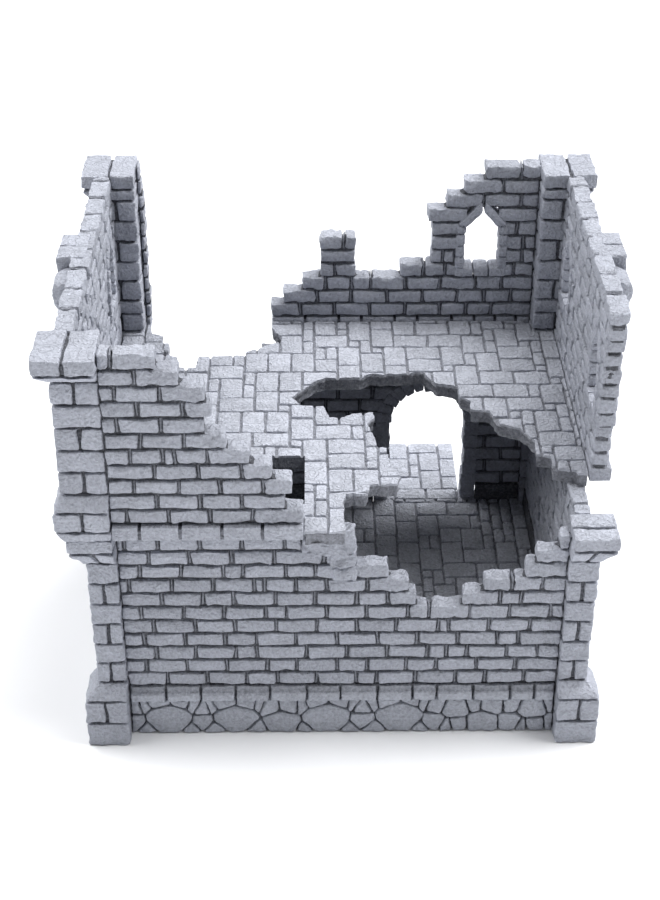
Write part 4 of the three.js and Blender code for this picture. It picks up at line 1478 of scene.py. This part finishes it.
bracket = dict(rings=14, across=9, waviness=0.3, waveSize=2.4, swell=0.7)
for side, sideX in sides.items():
    low, high = nodeBox(f"bracket_{side}")
    wallSide = min(low[0], high[0], key=abs)
    reach = abs(max(low[0], high[0], key=abs) - wallSide) - 0.35
    points, faces = [], []
    for k in range(bracket["rings"] + 1):
        t = k / bracket["rings"]
        z = high[2] - 0.25 - (high[2] - low[2] - 0.4) * t
        out = reach * math.sin(math.pi * min(1, 0.25 + 0.75 * t)) ** bracket["swell"]
        for j in range(bracket["across"] + 1):
            s = j / bracket["across"]
            y = low[1] + 0.2 + (high[1] - low[1] - 0.4) * s
            edge = min(1.0, 6 * min(s, 1 - s) + 0.55) * min(1.0, 5 * min(t, 1 - t) + 0.6)
            points.append(wavered((wallSide + sideX * max(0.5, out * edge), y, z),
                                  bracket["waviness"], bracket["waveSize"], 9 + sideX))
    row = bracket["across"] + 1
    count = len(points)
    points += [Vector((wallSide, p[1], p[2])) for p in points]
    for k in range(bracket["rings"]):
        for j in range(bracket["across"]):
            a, b = k * row + j, k * row + j + 1
            faces.append((a, a + row, b + row, b))
            faces.append((count + b, count + b + row, count + a + row, count + a))
    border = [k * row for k in range(bracket["rings"] + 1)]
    border += [bracket["rings"] * row + j for j in range(1, row)]
    border += [k * row + row - 1 for k in range(bracket["rings"] - 1, -1, -1)]
    border += [j for j in range(row - 2, 0, -1)]
    for a, b in zip(border, border[1:] + border[:1]):
        faces.append((b, a, count + a, count + b))
    if sideX < 0:
        faces = [face[::-1] for face in faces]
    heap = newHeap()
    addShell(heap, points, faces)
    piece = makePiece(f"bracketStone{side.title()}", heap, "dressed_stone")
    finishPiece(piece, "upper_storey", [f"bracket_{side}"])
print("pilasters and brackets built")

# studio

studio = dict(
    floorSize=9.0, skyStrength=0.265, spread=52,
    softLights={"Left": (2.7, (-0.62, 0.28, 1.0)), "Right": (4.6, (0.58, 0.24, 1.0))})
backdrop = bpy.data.meshes.new("floor")
half = studio["floorSize"]
backdrop.from_pydata([(-half, -half, 0), (half, -half, 0), (half, half, 0), (-half, half, 0)], [],
                     [(0, 1, 2, 3)])
floor = bpy.data.objects.new("studioFloor", backdrop)
bpy.context.scene.collection.objects.link(floor)
white = bpy.data.materials.new("pale floor")
white.use_nodes = True
white.node_tree.nodes["Principled BSDF"].inputs["Base Color"].default_value = (0.88, 0.885, 0.895, 1)
white.node_tree.nodes["Principled BSDF"].inputs["Roughness"].default_value = 0.9
backdrop.materials.append(white)

world = bpy.data.worlds.new("studio light")
bpy.context.scene.world = world
world.use_nodes = True
world.node_tree.nodes["Background"].inputs["Color"].default_value = (0.97, 0.98, 1.0, 1)
world.node_tree.nodes["Background"].inputs["Strength"].default_value = studio["skyStrength"]

for side, (strength, origin) in studio["softLights"].items():
    lamp = bpy.data.lights.new(f"softLight{side}", "SUN")
    lamp.energy = strength
    lamp.angle = math.radians(studio["spread"])
    light = bpy.data.objects.new(f"softLight{side}", lamp)
    light.rotation_euler = Vector(origin).to_track_quat("Z", "Y").to_euler()
    bpy.context.scene.collection.objects.link(light)
bpy.context.scene.view_settings.view_transform = "Standard"

camera = dict(place=(-0.0080863, -0.4106439, 0.3401722), down=0.5898, yaw=0.0119, roll=-0.0024,
              lens=64.98)
lensData = bpy.data.cameras.new("camera")
lensData.lens = camera["lens"]
lensData.sensor_width = 36
lensData.clip_start = 0.01
eye = bpy.data.objects.new("camera", lensData)
turn = (Matrix.Rotation(-camera["yaw"], 4, "Z") @ Matrix.Rotation(math.pi / 2 - camera["down"], 4, "X")
        @ Matrix.Rotation(-camera["roll"], 4, "Z"))
eye.matrix_world = Matrix.Translation(camera["place"]) @ turn
bpy.context.scene.collection.objects.link(eye)
bpy.context.scene.camera = eye
print("studio set;", len(finished), "pieces,",
      sum(len(p.data.loop_triangles) or len(p.data.polygons) * 2 for p in finished), "triangles")
